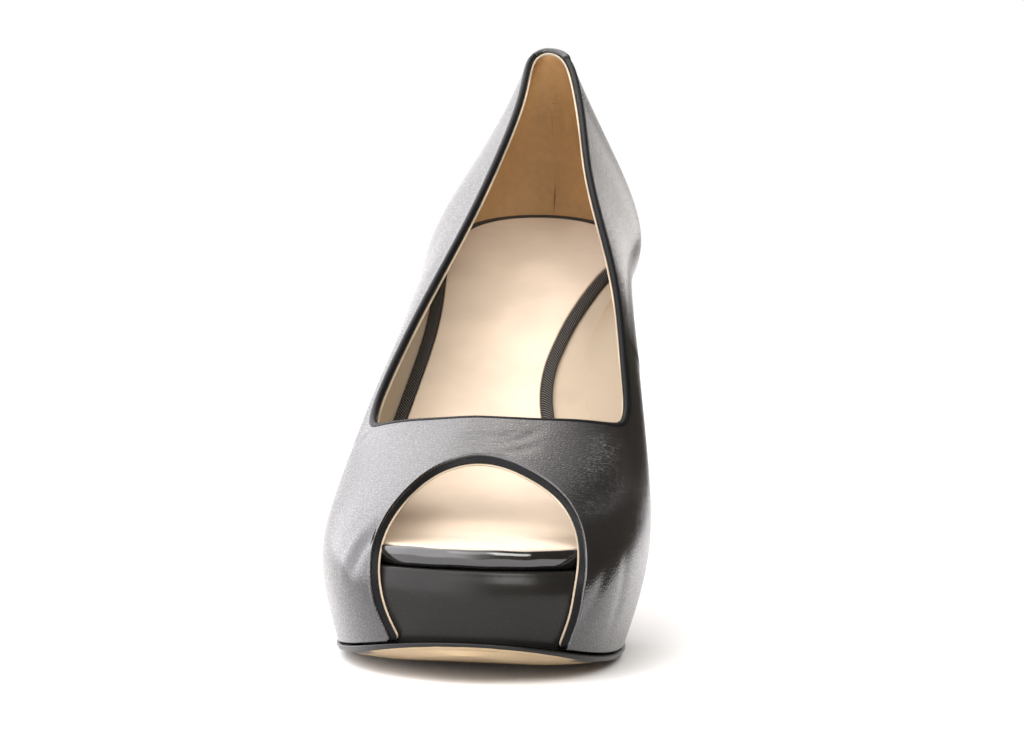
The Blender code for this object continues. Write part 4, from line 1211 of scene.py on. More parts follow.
class Value:
    """An output socket of a shader tree; arithmetic on it adds Math nodes."""

    def __init__(self, nodes, socket):
        self.nodes = nodes
        self.socket = socket

    def math(self, operation, other, turned=False):
        terms = (other, self) if turned else (self, other)
        return self.nodes.node("ShaderNodeMath", {"operation": operation}, dict(enumerate(terms)))

    def __add__(self, other):
        return self.math("ADD", other)

    def __radd__(self, other):
        return self.math("ADD", other, True)

    def __sub__(self, other):
        return self.math("SUBTRACT", other)

    def __rsub__(self, other):
        return self.math("SUBTRACT", other, True)

    def __mul__(self, other):
        return self.math("MULTIPLY", other)

    def step(self, low, high):
        """0 below low, 1 above high and a smooth rise between."""
        inputs = {"Value": self, "From Min": low, "From Max": high}
        return self.nodes.node("ShaderNodeMapRange", {"interpolation_type": "SMOOTHSTEP"}, inputs)


class Nodes:
    """Adds nodes to one shader tree."""

    def __init__(self, tree):
        self.tree = tree

    def node(self, kind, settings=None, inputs=None, output=0):
        """A node of the given type; its settings come first, then its sockets' values or links."""
        made = self.tree.nodes.new(kind)
        for name, setting in (settings or {}).items():
            setattr(made, name, setting)
        for name, value in (inputs or {}).items():
            self.feed(made.inputs[name], value)
        return Value(self, made.outputs[output])

    def feed(self, socket, value):
        if isinstance(value, Value):
            self.tree.links.new(value.socket, socket)
        else:
            socket.default_value = value

    def place(self, stretch=(1.0, 1.0, 1.0)):
        """The point on the object in millimetres, stretched along the axes."""
        scale = tuple(1.0 / MM / part for part in stretch)
        point = self.node("ShaderNodeTexCoord", output="Object")
        return self.node("ShaderNodeMapping", None, {"Vector": point, "Scale": scale})

    def noise(self, place, size, detail=2.0, output="Fac"):
        inputs = {"Vector": place, "Scale": 1.0 / size, "Detail": detail}
        return self.node("ShaderNodeTexNoise", None, inputs, output)

    def cells(self, place, size):
        """Distance from the edge of the cell the place lies in."""
        inputs = {"Vector": place, "Scale": 1.0 / size}
        return self.node("ShaderNodeTexVoronoi", {"feature": "DISTANCE_TO_EDGE"}, inputs, "Distance")

    def bend(self, place, size, amount):
        """The place moved about by a soft noise."""
        push = self.noise(place, size, output="Color")
        inputs = {0: push, 1: (amount, amount, amount), 2: place}
        return self.node("ShaderNodeVectorMath", {"operation": "MULTIPLY_ADD"}, inputs)

    def mark(self, name):
        return self.node("ShaderNodeAttribute", {"attribute_name": name}, None, "Fac")

    def mix(self, factor, first, second):
        inputs = {0: factor, 6: first, 7: second}
        return self.node("ShaderNodeMix", {"data_type": "RGBA"}, inputs, 2)

    def bump(self, height, depth):
        """The normal over a height whose unit is the depth in millimetres."""
        inputs = {"Height": height, "Distance": depth * MM, "Strength": 1.0}
        return self.node("ShaderNodeBump", None, inputs)


def new_material(name):
    material = bpy.data.materials.new(name)
    material.use_nodes = True
    return material, Nodes(material.node_tree)


def finish(material, nodes, **inputs):
    """Feeds the surface shader's sockets, named with underscores for spaces."""
    surface = material.node_tree.nodes["Principled BSDF"]
    for name, value in inputs.items():
        nodes.feed(surface.inputs[name.replace("_", " ")], value)
    return material


def grey(level):
    return (level, level, level, 1.0)


def shaded(colour, factor):
    """The colour made darker or paler by a factor."""
    return tuple(factor * part for part in colour[:3]) + (1.0,)


class PumpSizes(bpy.types.PropertyGroup):
    """Sizes and colours of the pump's looks."""

    grain_size: bpy.props.FloatProperty(
        name="Grain size", description="Size of the leather's pebbles", subtype="DISTANCE", unit="LENGTH",
        default=0.0009, min=0.0003, max=0.003, precision=5)
    stitch_pitch: bpy.props.FloatProperty(
        name="Stitch pitch", description="Distance between the back seam's stitches", subtype="DISTANCE",
        unit="LENGTH", default=0.0021, min=0.0012, max=0.005, precision=5)
    rib_pitch: bpy.props.FloatProperty(
        name="Rib pitch", description="Distance between the tape's ribs", subtype="DISTANCE", unit="LENGTH",
        default=0.001, min=0.0004, max=0.003, precision=5)
    leather_colour: bpy.props.FloatVectorProperty(
        name="Leather", description="Colour of the outer leather", subtype="COLOR", size=4,
        default=(0.006, 0.006, 0.0065, 1.0), min=0.0, max=1.0)
    lining_colour: bpy.props.FloatVectorProperty(
        name="Lining", description="Colour of the lining leather", subtype="COLOR", size=4,
        default=(0.36, 0.295, 0.215, 1.0), min=0.0, max=1.0)
    heel_lining_colour: bpy.props.FloatVectorProperty(
        name="Heel lining", description="Colour of the lining round the heel", subtype="COLOR", size=4,
        default=(0.38, 0.218, 0.088, 1.0), min=0.0, max=1.0)
    footbed_colour: bpy.props.FloatVectorProperty(
        name="Footbed", description="Colour of the footbed beside the sock", subtype="COLOR", size=4,
        default=(0.37, 0.30, 0.22, 1.0), min=0.0, max=1.0)
    sock_colour: bpy.props.FloatVectorProperty(
        name="Sock", description="Colour of the insole's sock", subtype="COLOR", size=4,
        default=(0.59, 0.49, 0.385, 1.0), min=0.0, max=1.0)
    sole_colour: bpy.props.FloatVectorProperty(
        name="Sole", description="Colour of the outsole's underside", subtype="COLOR", size=4,
        default=(0.37, 0.275, 0.165, 1.0), min=0.0, max=1.0)


def sizes():
    return bpy.context.scene.pump_sizes


def leather(name, grain_share, roughness, depth, gloss_level=1.0, stretch=(1.0, 1.0, 1.0), seams=False):
    """Pebbled black leather: cells bent by a soft noise, finer pores and slow changes of gloss."""
    colour = sizes().leather_colour
    grain = sizes().grain_size / MM * grain_share
    material, nodes = new_material(name)
    place = nodes.place(stretch)
    cells = nodes.cells(nodes.bend(place, grain * BEND_SIZE, grain * BEND_AMOUNT), grain)
    pebble = cells.step(0.0, PEBBLE_EDGE)
    finished = cells.step(0.0, COAT_EDGE)
    pores = nodes.noise(place, grain * PORE_SIZE)
    slow = nodes.noise(nodes.place(), CLOUD_SIZE, FINE_DETAIL)
    height = pebble * (slow * 0.5 + 0.5) + pores * PORE_HEIGHT
    if seams:
        height = height - (1.0 - nodes.mark("side_seam").step(*SIDE_LINE)) * SIDE_LINE_DEPTH
        height = height - (1.0 - nodes.mark("back_seam").step(*BACK_LINE)) * BACK_LINE_DEPTH
        streaks = nodes.noise(nodes.place(STREAK_STRETCH), STREAK_SIZE, FINE_DETAIL)
        height = height + streaks * nodes.mark("vamp") * STREAK_HEIGHT
        finished = finished * (1.0 - streaks.step(*STREAK_LIMITS) * nodes.mark("vamp"))
    gloss = roughness + (0.5 - slow) * CLOUD_GLOSS + (1.0 - pebble) * PEBBLE_GLOSS
    shade = nodes.mix(slow, shaded(colour, CLOUD_DARK), shaded(colour, CLOUD_PALE))
    return finish(material, nodes, Base_Color=shade, Roughness=gloss, Normal=nodes.bump(height, depth),
                  Specular_IOR_Level=gloss_level * LEATHER_SPECULAR,
                  Coat_Weight=finished * gloss_level * LEATHER_COAT, Coat_Roughness=roughness)


def soft_leather(name, pale, dark, roughness=SOFT_ROUGHNESS):
    """Smooth lining leather: slow stains, fine pores and faint wrinkles."""
    material, nodes = new_material(name)
    place = nodes.place()
    slow = nodes.noise(place, SOFT_STAIN_SIZE, FINE_DETAIL)
    pores = nodes.noise(place, SOFT_PORE_SIZE)
    folds = nodes.noise(nodes.place(FOLD_STRETCH), FOLD_SIZE)
    shade = nodes.mix(slow.step(*SOFT_STAIN_LIMITS), pale, dark)
    return finish(material, nodes, Base_Color=shade, Roughness=roughness + (pores - 0.5) * SOFT_PORE_GLOSS,
                  Normal=nodes.bump(pores * SOFT_PORE_HEIGHT + folds, SOFT_DEPTH),
                  Specular_IOR_Level=SOFT_SPECULAR)


def lining_leather(colour, heel_colour):
    """Lining leather, browner toward the heel, with a stitched seam up its back and faint marks."""
    material, nodes = new_material("lining leather")
    place = nodes.place()
    slow = nodes.noise(place, STAIN_SIZE, FINE_DETAIL)
    mottle = nodes.noise(place, MOTTLE_SIZE, FINE_DETAIL)
    pores = nodes.noise(place, SOFT_PORE_SIZE)
    marks = nodes.noise(nodes.place(MARK_STRETCH), MARK_SIZE).step(*MARK_LIMITS)
    seam = nodes.mark("back_seam")
    level = nodes.mark("level")
    heel = nodes.mark("heel")
    broken = nodes.noise(nodes.place(THREAD_STRETCH), THREAD_SIZE).step(*THREAD_LIMITS)
    tall = level.step(*THREAD_START) * (1.0 - level.step(*THREAD_END)) * broken
    line = (1.0 - seam.step(*THREAD_LINE)) * tall
    high = level.step(*MARK_LEVELS) * heel * (1.0 - seam.step(*MARK_SPREAD))
    plain = nodes.mix(heel, colour, heel_colour)
    uneven = (slow - 0.5) * STAIN_WEIGHT + (mottle - 0.5) * STAIN_WEIGHT + STAIN_LEAST
    stain = uneven * (heel * (1.0 - STAIN_AWAY) + STAIN_AWAY)
    shade = nodes.mix(stain, plain, shaded(heel_colour, STAIN_DARK))
    shade = nodes.mix(line * LINE_DARKNESS + marks * high * MARK_DARKNESS, shade, MARK_BROWN)
    height = pores * SOFT_PORE_HEIGHT + mottle - line * LINE_DEPTH - marks * high
    return finish(material, nodes, Base_Color=shade,
                  Roughness=LINING_ROUGHNESS + (pores - 0.5) * SOFT_PORE_GLOSS,
                  Normal=nodes.bump(height, LINING_BUMP), Specular_IOR_Level=SOFT_SPECULAR)


def polished(name, colour, roughness, gloss_level):
    """Smooth glossy leather with a faint unevenness."""
    material, nodes = new_material(name)
    place = nodes.place()
    slow = nodes.noise(place, POLISH_CLOUD_SIZE)
    fine = nodes.noise(place, POLISH_GRAIN_SIZE)
    shade = nodes.mix(slow, shaded(colour, POLISH_DARK), colour)
    return finish(material, nodes, Base_Color=shade, Roughness=roughness + (fine - 0.5) * POLISH_GRAIN_GLOSS,
                  Normal=nodes.bump(slow * POLISH_WAVE, POLISH_DEPTH), Specular_IOR_Level=gloss_level)


def sole_leather():
    """Tan sole with an inked edge; at the toe the ink starts higher, along a wavy line."""
    material, nodes = new_material("sole leather")
    colour = sizes().sole_colour
    place = nodes.place()
    slow = nodes.noise(place, STAIN_SIZE, FINE_DETAIL)
    fine = nodes.noise(place, SOLE_GRAIN_SIZE, FINE_DETAIL)
    wave = (nodes.noise(place, INK_WAVE_SIZE) - 0.5) * INK_WAVE
    line = nodes.mark("toe") * (wave + INK_HEIGHT) - INK_START
    rise = nodes.mark("rise")
    edge = (rise - line).step(0.0, INK_SOFTNESS) * nodes.mark("across").step(*INK_ACROSS)
    ink = edge.math("MAXIMUM", rise.step(*INK_TOP))
    tan = nodes.mix(slow, colour, shaded(colour, SOLE_DARK))
    return finish(material, nodes, Base_Color=nodes.mix(ink, tan, grey(INK_BLACK)),
                  Roughness=SOLE_ROUGHNESS - ink * INK_GLOSS + (fine - 0.5) * SOLE_GRAIN_GLOSS,
                  Normal=nodes.bump(fine, SOLE_GRAIN_DEPTH), Specular_IOR_Level=SOLE_SPECULAR)


def woven_tape():
    """Black tape with slanting ribs of paler thread."""
    material, nodes = new_material("woven tape")
    thread = nodes.noise(nodes.place(), TAPE_THREAD_SIZE)
    turns = 2.0 * np.pi * MM / sizes().rib_pitch
    wave = ((nodes.mark("run") + nodes.mark("aside")) * turns).math("SINE", 0.0)
    rib = (wave * 0.5 + 0.5 + (thread - 0.5) * TAPE_THREAD_SHARE).step(*RIB_LIMITS)
    return finish(material, nodes, Base_Color=nodes.mix(rib, grey(TAPE_BLACK), TAPE_PALE),
                  Roughness=TAPE_ROUGHNESS, Normal=nodes.bump(rib, RIB_DEPTH),
                  Specular_IOR_Level=TAPE_SPECULAR)


def dull_black(name, size, detail, pale, roughness, uneven, depth, stretch=(1.0, 1.0, 1.0)):
    """Thread or rubber: near black, with one fine noise in its colour, gloss and relief."""
    material, nodes = new_material(name)
    fine = nodes.noise(nodes.place(stretch), size, detail)
    return finish(material, nodes, Base_Color=nodes.mix(fine, grey(NEAR_BLACK), grey(pale)),
                  Roughness=(fine - 0.5) * uneven + roughness, Normal=nodes.bump(fine, depth))


class PUMP_OT_upper(bpy.types.Operator):
    """Make the leather upper with its seams and creases"""
    bl_idname = "pump.upper"
    bl_label = "Upper"

    def execute(self, context):
        wall = Wall()
        skin, place, level = wall.shell(LEATHER_STEP * wall.on_arch, LEATHER_STEP,
                                        lambda low, top: 0.0 * low, LEATHER, leather_relief)
        from_toe = place - LAST.knot("toe_tip")
        marks = {
            "back_seam": seam_mark(around(place)),
            "side_seam": seam_mark(side_seam_distance(place, level)),
            "vamp": bell(from_toe, VAMP_REACH) * smooth_step(*VAMP_RISE, level),
        }
        material = leather("black leather", grain_share=1.0, roughness=0.18, depth=0.04, seams=True)
        add_piece("upper_leather", skin, material, "upper", (True, True), marks)
        return {"FINISHED"}


class PUMP_OT_rims(bpy.types.Operator):
    """Make the turned edges of the leather along the topline and the peep toe"""
    bl_idname = "pump.rims"
    bl_label = "Turned edges"

    def execute(self, context):
        material = leather("rim leather", grain_share=0.55, roughness=0.16, depth=0.05, gloss_level=0.08)
        inner = RIM_DEPTH - RIM_TUCK
        collar = collar_strip((-RIM_PROUD, inner), COLLAR_RIM, RIM_SECTION)
        add_piece("collar_rim", collar, material, "upper", (True, True), replaces=False)
        peep = peep_strip((0.0, inner), PEEP_RIM, PEEP_SECTION, PEEP_SLOPE)
        add_piece("peep_rim", peep, material, "upper", (False, True), replaces=False)
        return {"FINISHED"}


class PUMP_OT_lining(bpy.types.Operator):
    """Make the lining inside the upper and its cut edges, a little below the leather's rims"""
    bl_idname = "pump.lining"
    bl_label = "Lining"

    def execute(self, context):
        wall = Wall()
        colour = sizes().lining_colour
        low_step = np.full(wall.count, LINING_STEP)
        skin, place, level = wall.shell(low_step, LINING_STEP, lining_depth, LINING)
        marks = {
            "back_seam": seam_mark(around(place) + LINING_SEAM_ASIDE),
            "level": level,
            "heel": smooth_step(*HEEL_LINING, skin[..., 1]),
        }
        material = lining_leather(colour, sizes().heel_lining_colour)
        add_piece("lining", skin, material, "footbed", (True, True), marks, replaces=False)
        edge = soft_leather("lining edge", shaded(colour, EDGE_PALE), shaded(colour, EDGE_DARK))
        depth = (RIM_DEPTH, RIM_DEPTH + EDGE_THICKNESS)
        collar = collar_strip(depth, COLLAR_LINING, EDGE_SECTION)
        add_piece("collar_lining_edge", collar, edge, "footbed", (True, True), replaces=False)
        peep = peep_strip(depth, PEEP_LINING, EDGE_SECTION)
        add_piece("peep_lining_edge", peep, edge, "footbed", (False, True), replaces=False)
        return {"FINISHED"}


class PUMP_OT_heel_tab(bpy.types.Operator):
    """Make the overlay that folds over the collar at the top of the back seam"""
    bl_idname = "pump.heel_tab"
    bl_label = "Heel tab"

    def execute(self, context):
        collar = np.linspace(-LAST.girth / TAB_SEARCH, LAST.girth / TAB_SEARCH, LINE_SAMPLES)
        run = run_along(LAST.point(collar, topline_level(collar)))
        from_seam = run - np.interp(0.0, collar, run)
        reach = np.linspace(-TAB_INNER_REACH, TAB_FADE[0], TAB_COLUMNS)
        place = np.interp(reach, from_seam, collar)
        share = np.clip(-reach / TAB_INNER_REACH, 0.0, 1.0)
        fade = smooth_step(*TAB_FADE, reach)
        drop = TAB_DROP_SEAM + (TAB_DROP_END - TAB_DROP_SEAM) * share
        low = COLLAR_RIM[1] + (drop - COLLAR_RIM[1]) * fade
        proud = RIM_PROUD - TAB_SINK + TAB_SHOWN * fade
        inner = RIM_DEPTH - TAB_LESS_DEPTH + TAB_MORE_DEPTH * fade
        end = np.clip((reach + TAB_INNER_REACH) / TAB_EDGE, 0.0, 1.0)
        size = np.sqrt(1.0 - (1.0 - end) ** 2)
        size[-1] = 0.0
        skin = strip(place, topline_level(place), -1.0, (-proud, inner),
                     (COLLAR_RIM[0] - TAB_SHOWN * fade, low), TAB_SECTION, size)
        material = leather("tab leather", grain_share=1.0, roughness=0.2, depth=0.035, gloss_level=0.6)
        add_piece("heel_tab_leather", skin, material, "heel_tab", (False, True))
        return {"FINISHED"}


class PUMP_OT_stitches(bpy.types.Operator):
    """Make the row of stitches beside the back seam"""
    bl_idname = "pump.stitches"
    bl_label = "Back stitches"

    def execute(self, context):
        levels = np.linspace(STITCH_LOW_LEVEL, float(topline_level(np.zeros(1))[0]), LINE_SAMPLES)
        run = run_along(LAST.point(np.full(LINE_SAMPLES, -STITCH_ASIDE), levels))
        pitch = sizes().stitch_pitch / MM
        middles = np.arange(pitch, run[-1] - TAB_DROP_SEAM, pitch)
        along = np.linspace(-0.5, 0.5, STITCH_POINTS)
        angle = np.linspace(0.0, 2.0 * np.pi, STITCH_SIDES, endpoint=False)
        level = np.interp(middles[:, None] + pitch * STITCH_LENGTH * along[None, :], run, levels)
        place = np.full_like(level, -STITCH_ASIDE)
        normal = LAST.normal(place, level)
        onward = unit(LAST.point(place, level + STITCH_STEP) - LAST.point(place, level - STITCH_STEP))
        side = np.cross(normal, onward)
        to_end = (2.0 * along) ** 2
        size = STITCH_RADIUS * np.sqrt(np.clip(1.0 - to_end * STITCH_TAPER, 0.0, 1.0))
        size[[0, -1]] = 0.0
        rise = STITCH_RADIUS * STITCH_RISE * (1.0 - to_end)
        ring = (normal[:, :, None] * np.sin(angle)[None, None, :, None]
                + side[:, :, None] * np.cos(angle)[None, None, :, None])
        points = LAST.point(place, level)[:, :, None] + normal[:, :, None] * rise[None, :, None, None]
        points = points + ring * size[None, :, None, None]
        material = dull_black("black thread", size=0.3, detail=2.0, pale=0.03, roughness=0.5, uneven=0.0,
                              depth=0.06, stretch=(1.0, 1.0, 0.4))
        for number, stitch in enumerate(points):
            add_piece("stitch_%02d" % number, stitch, material, "upper", (False, True), replaces=False)
        return {"FINISHED"}


class PUMP_OT_outsole(bpy.types.Operator):
    """Make the outsole with its inked edge and tan underside"""
    bl_idname = "pump.outsole"
    bl_label = "Outsole"

    def execute(self, context):
        end = percent_of_length(BREAST_ALONG) - GAP
        levels = []
        for share, inset in ((0.0, SOLE_TAPER - SOLE_MARGIN), (1.0, -SOLE_MARGIN)):
            ring = LAST.ring_at(sole_height, constant(inset), 0.0)
            levels.append((share, Outline(ring, SOLE_STEPS, end)))

        def bottom(along, across):
            over = np.clip((across - SOLE_FLAT_SHARE) / (1.0 - SOLE_FLAT_SHARE), 0.0, 1.0)
            return outsole_bottom(along) + SOLE_EDGE_LIFT * over ** 2

        def top(along, across):
            return sole_height(along) - GAP

        skin, across = slab(levels, bottom, top, SOLE_EDGES, sides=SOLE_SIDES)
        side, along, height = np.moveaxis(skin, -1, 0)
        low = bottom(along, across)
        marks = {
            "rise": (height - low) / (top(along, across) - low),
            "toe": bell(side - INK_TOE_SIDE, INK_TOE_REACH) * smooth_step(*INK_TOE_ALONG, along),
            "across": across,
        }
        add_piece("outsole_leather", skin, sole_leather(), "outsole", (True, False), marks)
        return {"FINISHED"}


class PUMP_OT_platform(bpy.types.Operator):
    """Make the covered platform seen in the peep toe"""
    bl_idname = "pump.platform"
    bl_label = "Platform"

    def execute(self, context):
        end = percent_of_length(PLATFORM_END)
        levels = []
        for share in np.linspace(0.0, 1.0, PLATFORM_LEVELS):
            def height(along, share=share):
                return sole_height(along) + share * (platform_top(along) - sole_height(along))
            levels.append((share, Outline(LAST.ring_at(height, constant(PLATFORM_ROOM)), BED_STEPS, end)))
        skin, _ = slab(levels, flat_height(sole_height), flat_height(platform_top), PLATFORM_EDGES,
                       sides=PLATFORM_SIDES)
        material = polished("platform leather", PANEL_BLACK, roughness=0.26, gloss_level=0.2)
        add_piece("platform_cover", skin, material, "platform", (True, False))
        return {"FINISHED"}


class PUMP_OT_toe_roll(bpy.types.Operator):
    """Make the rolled edge between the platform and the sock at the toe"""
    bl_idname = "pump.toe_roll"
    bl_label = "Toe roll"

    def execute(self, context):
        half_height = (FOOTBED_THICKNESS + INSOLE_THICKNESS + GAP) / 2.0 - ROLL_ROOM

        def middle(along):
            return insole_height(along) - half_height - ROLL_DROP

        def inset(points):
            share = np.clip(points[:, 1] / percent_of_length(ROLL_TUCK_START) - 1.0, 0.0, 1.0)
            return ROLL_DEPTH / 2.0 + ROLL_TUCK * share

        def swell(run, angle):
            slow = ROLL_SLOW_SWELL * np.sin(run / ROLL_SLOW_LENGTH + 1.0)
            return 1.0 + slow + ROLL_QUICK_SWELL * np.sin(run / ROLL_QUICK_LENGTH + 2.0 * np.sin(angle))

        ring = LAST.ring_at(middle, inset)
        ring = np.roll(ring, RING_SAMPLES // 2 - int(np.argmin(ring[:, 1])), axis=0)
        front = ring[ring[:, 1] < percent_of_length(ROLL_END)]
        stations = resample(front, np.linspace(0.0, 1.0, ROLL_STATIONS))
        skin, _, _ = bar(stations, middle, ROLL_DEPTH / 2.0, half_height, ROLL_SECTION, swell)
        material = polished("roll leather", grey(NEAR_BLACK), roughness=0.12, gloss_level=0.9)
        add_piece("toe_roll_cover", skin, material, "toe_roll", (False, True))
        return {"FINISHED"}


def bed_edge(points):
    """The footbed's inset, let out behind the toe until it meets the lining."""
    return footbed_inset(points) - BED_REACH * smooth_step(*BED_REACH_ALONG, points[:, 1])


class PUMP_OT_footbed(bpy.types.Operator):
    """Make the lined footbed under the sock"""
    bl_idname = "pump.footbed"
    bl_label = "Footbed"

    def execute(self, context):
        levels = []
        for share, height in ((0.0, footbed_bottom), (1.0, footbed_top)):
            levels.append((share, Outline(LAST.ring_at(height, bed_edge), BED_STEPS)))
        skin, _ = slab(levels, flat_height(footbed_bottom), flat_height(footbed_top), BED_EDGES,
                       fills=BED_FILLS)
        colour = sizes().footbed_colour
        material = soft_leather("footbed leather", colour, shaded(colour, BED_DARK))
        add_piece("footbed_lining", skin, material, "footbed", (True, False))
        return {"FINISHED"}


class PUMP_OT_insole(bpy.types.Operator):
    """Make the pale sock the foot stands on"""
    bl_idname = "pump.insole"
    bl_label = "Insole"

    def execute(self, context):
        outline = Outline(LAST.ring_at(insole_bottom, insole_inset), BED_STEPS)
        skin, _ = slab([(0.0, outline), (1.0, outline)], flat_height(insole_bottom),
                       flat_height(insole_height), SOCK_EDGES, sides=SOCK_SIDES)
        colour = sizes().sock_colour
        material = soft_leather("sock leather", colour, shaded(colour, SOCK_DARK), SOCK_ROUGHNESS)
        add_piece("insole_sock", skin, material, "insole", (True, False))
        return {"FINISHED"}


class PUMP_OT_binding(bpy.types.Operator):
    """Make the ribbed tape round the edge of the sock"""
    bl_idname = "pump.binding"
    bl_label = "Insole binding"

    def execute(self, context):
        half_width = BINDING_WIDTH / 2.0 + TAPE_EXTRA
        half_height = (INSOLE_THICKNESS + BINDING_PROUD) / 2.0
        sink_start = percent_of_length(TAPE_SINK_START)
        sink_end = percent_of_length(TAPE_SINK_END)

        def inset(points):
            return insole_inset(points) - (BINDING_GAP + BINDING_WIDTH / 2.0)

        def middle(along):
            lower = TAPE_SINK * smooth_step(sink_start, sink_end, along)
            return insole_bottom(along) + half_height - lower

        ring = LAST.ring_at(insole_bottom, inset)
        ring = np.roll(ring, -int(np.argmin(ring[:, 1])), axis=0)
        back = ring[ring[:, 1] > percent_of_length(BINDING_START)]
        stations = resample(back, np.linspace(0.0, 1.0, TAPE_STATIONS))
        skin, run, out = bar(stations, middle, half_width, half_height, TAPE_SECTION)
        marks = {"run": run[:, None], "aside": half_width * out[None, :]}
        add_piece("binding_tape", skin, woven_tape(), "insole_binding", (False, True), marks)
        return {"FINISHED"}


def heel_outlines():
    """The seat's outline, and the stem's as side shares and back-to-front shares, inner corner first."""
    ring = LAST.ring_at(sole_height, constant(GAP), 0.0)
    ring = np.roll(ring, RING_SAMPLES // 2 - int(np.argmax(ring[:, 1])), axis=0)
    seat = resample(ring[ring[:, 1] > percent_of_length(BREAST_ALONG)], np.linspace(0.0, 1.0, HEEL_POINTS))
    angle = np.linspace(0.5 * np.pi, -0.5 * np.pi, HEEL_POINTS)
    stem_side = signed_power(np.sin(angle), 2.0 / STEM_POWER)
    stem_front = 1.0 - np.abs(np.cos(angle)) ** (2.0 / STEM_POWER)
    return seat, stem_side, stem_front


class PUMP_OT_heel(bpy.types.Operator):
    """Make the covered heel"""
    bl_idname = "pump.heel"
    bl_label = "Heel"

    def execute(self, context):
        seat, stem_side, stem_front = heel_outlines()
        seat_side = (seat[:, 0] - seat[:, 0].min()) / (np.ptp(seat[:, 0]) / 2.0) - 1.0
        seat_front = (seat[:, 1].max() - seat[:, 1]) / np.ptp(seat[:, 1])
        seat[:, 2] = sole_height(seat[:, 1]) - GAP
        rings = [seat]
        for row in HEEL_ROWS:
            side = (1.0 - row.stem) * seat_side + row.stem * stem_side
            front = (1.0 - row.stem) * seat_front + row.stem * stem_front
            back_along = percent_of_length(row.back_along)
            rings.append(np.stack([
                row.middle + side * row.half_width,
                back_along + front * (percent_of_length(row.front_along) - back_along),
                row.back_height + front * (row.front_height - row.back_height),
            ], axis=1))
        rings = np.array(rings)
        heights = -rings[:, HEEL_POINTS // 2, 2]
        fine = natural_spline(heights, rings)(np.linspace(heights[0], heights[-1], HEEL_FINE))
        closing = np.linspace(0.0, 1.0, HEEL_CLOSING)[None, 1:-1, None]
        breast = fine[:, -1:, :] + (fine[:, :1, :] - fine[:, -1:, :]) * closing
        skin = capped(np.concatenate([fine, breast], axis=1), HEEL_CAP)
        cap = skin[:HEEL_CAP - 1]
        cap[..., 2] = sole_height(cap[..., 1]) - GAP
        material = leather("heel leather", grain_share=0.8, roughness=0.2, depth=0.03, stretch=HEEL_STRETCH)
        add_piece("heel_cover", skin.transpose(1, 0, 2), material, "heel", (True, False))
        return {"FINISHED"}


class PUMP_OT_top_lift(bpy.types.Operator):
    """Make the rubber tip under the heel"""
    bl_idname = "pump.top_lift"
    bl_label = "Top lift"

    def execute(self, context):
        _, stem_side, stem_front = heel_outlines()
        tip = HEEL_ROWS[-1]
        back = percent_of_length(tip.back_along)
        front = percent_of_length(tip.front_along)
        centre = np.array([tip.middle, (back + front) / 2.0])
        outline = np.stack([stem_side * (tip.half_width + LIFT_MARGIN),
                            ((back - front) / 2.0 + LIFT_MARGIN) * (1.0 - 2.0 * stem_front)], axis=1)
        turn = np.linspace(0.0, np.pi / 2.0, LIFT_TURN)
        inset = np.concatenate([LIFT_TOP_ROUND * (1.0 - np.sin(turn)), np.zeros(len(LIFT_BANDS)),
                                LIFT_ROUNDING * (1.0 - np.sin(turn[::-1]))])
        height = np.concatenate([LIFT_HEIGHT - GAP - LIFT_TOP_ROUND * (1.0 - np.cos(turn)), LIFT_BANDS,
                                 LIFT_ROUNDING * (1.0 - np.cos(turn[::-1]))])
        radius = np.linalg.norm(outline, axis=1).mean()
        rings = centre + outline[None] * (1.0 - inset / radius)[:, None, None]
        rings = np.concatenate([rings, np.repeat(height[:, None], HEEL_POINTS, axis=1)[..., None]], axis=-1)
        material = dull_black("black rubber", size=0.4, detail=FINE_DETAIL, pale=0.018, roughness=0.55,
                              uneven=0.2, depth=0.04)
        skin = capped(rings, LIFT_CAP)
        add_piece("top_lift_rubber", skin.transpose(1, 0, 2), material, "top_lift", (True, False))
        return {"FINISHED"}


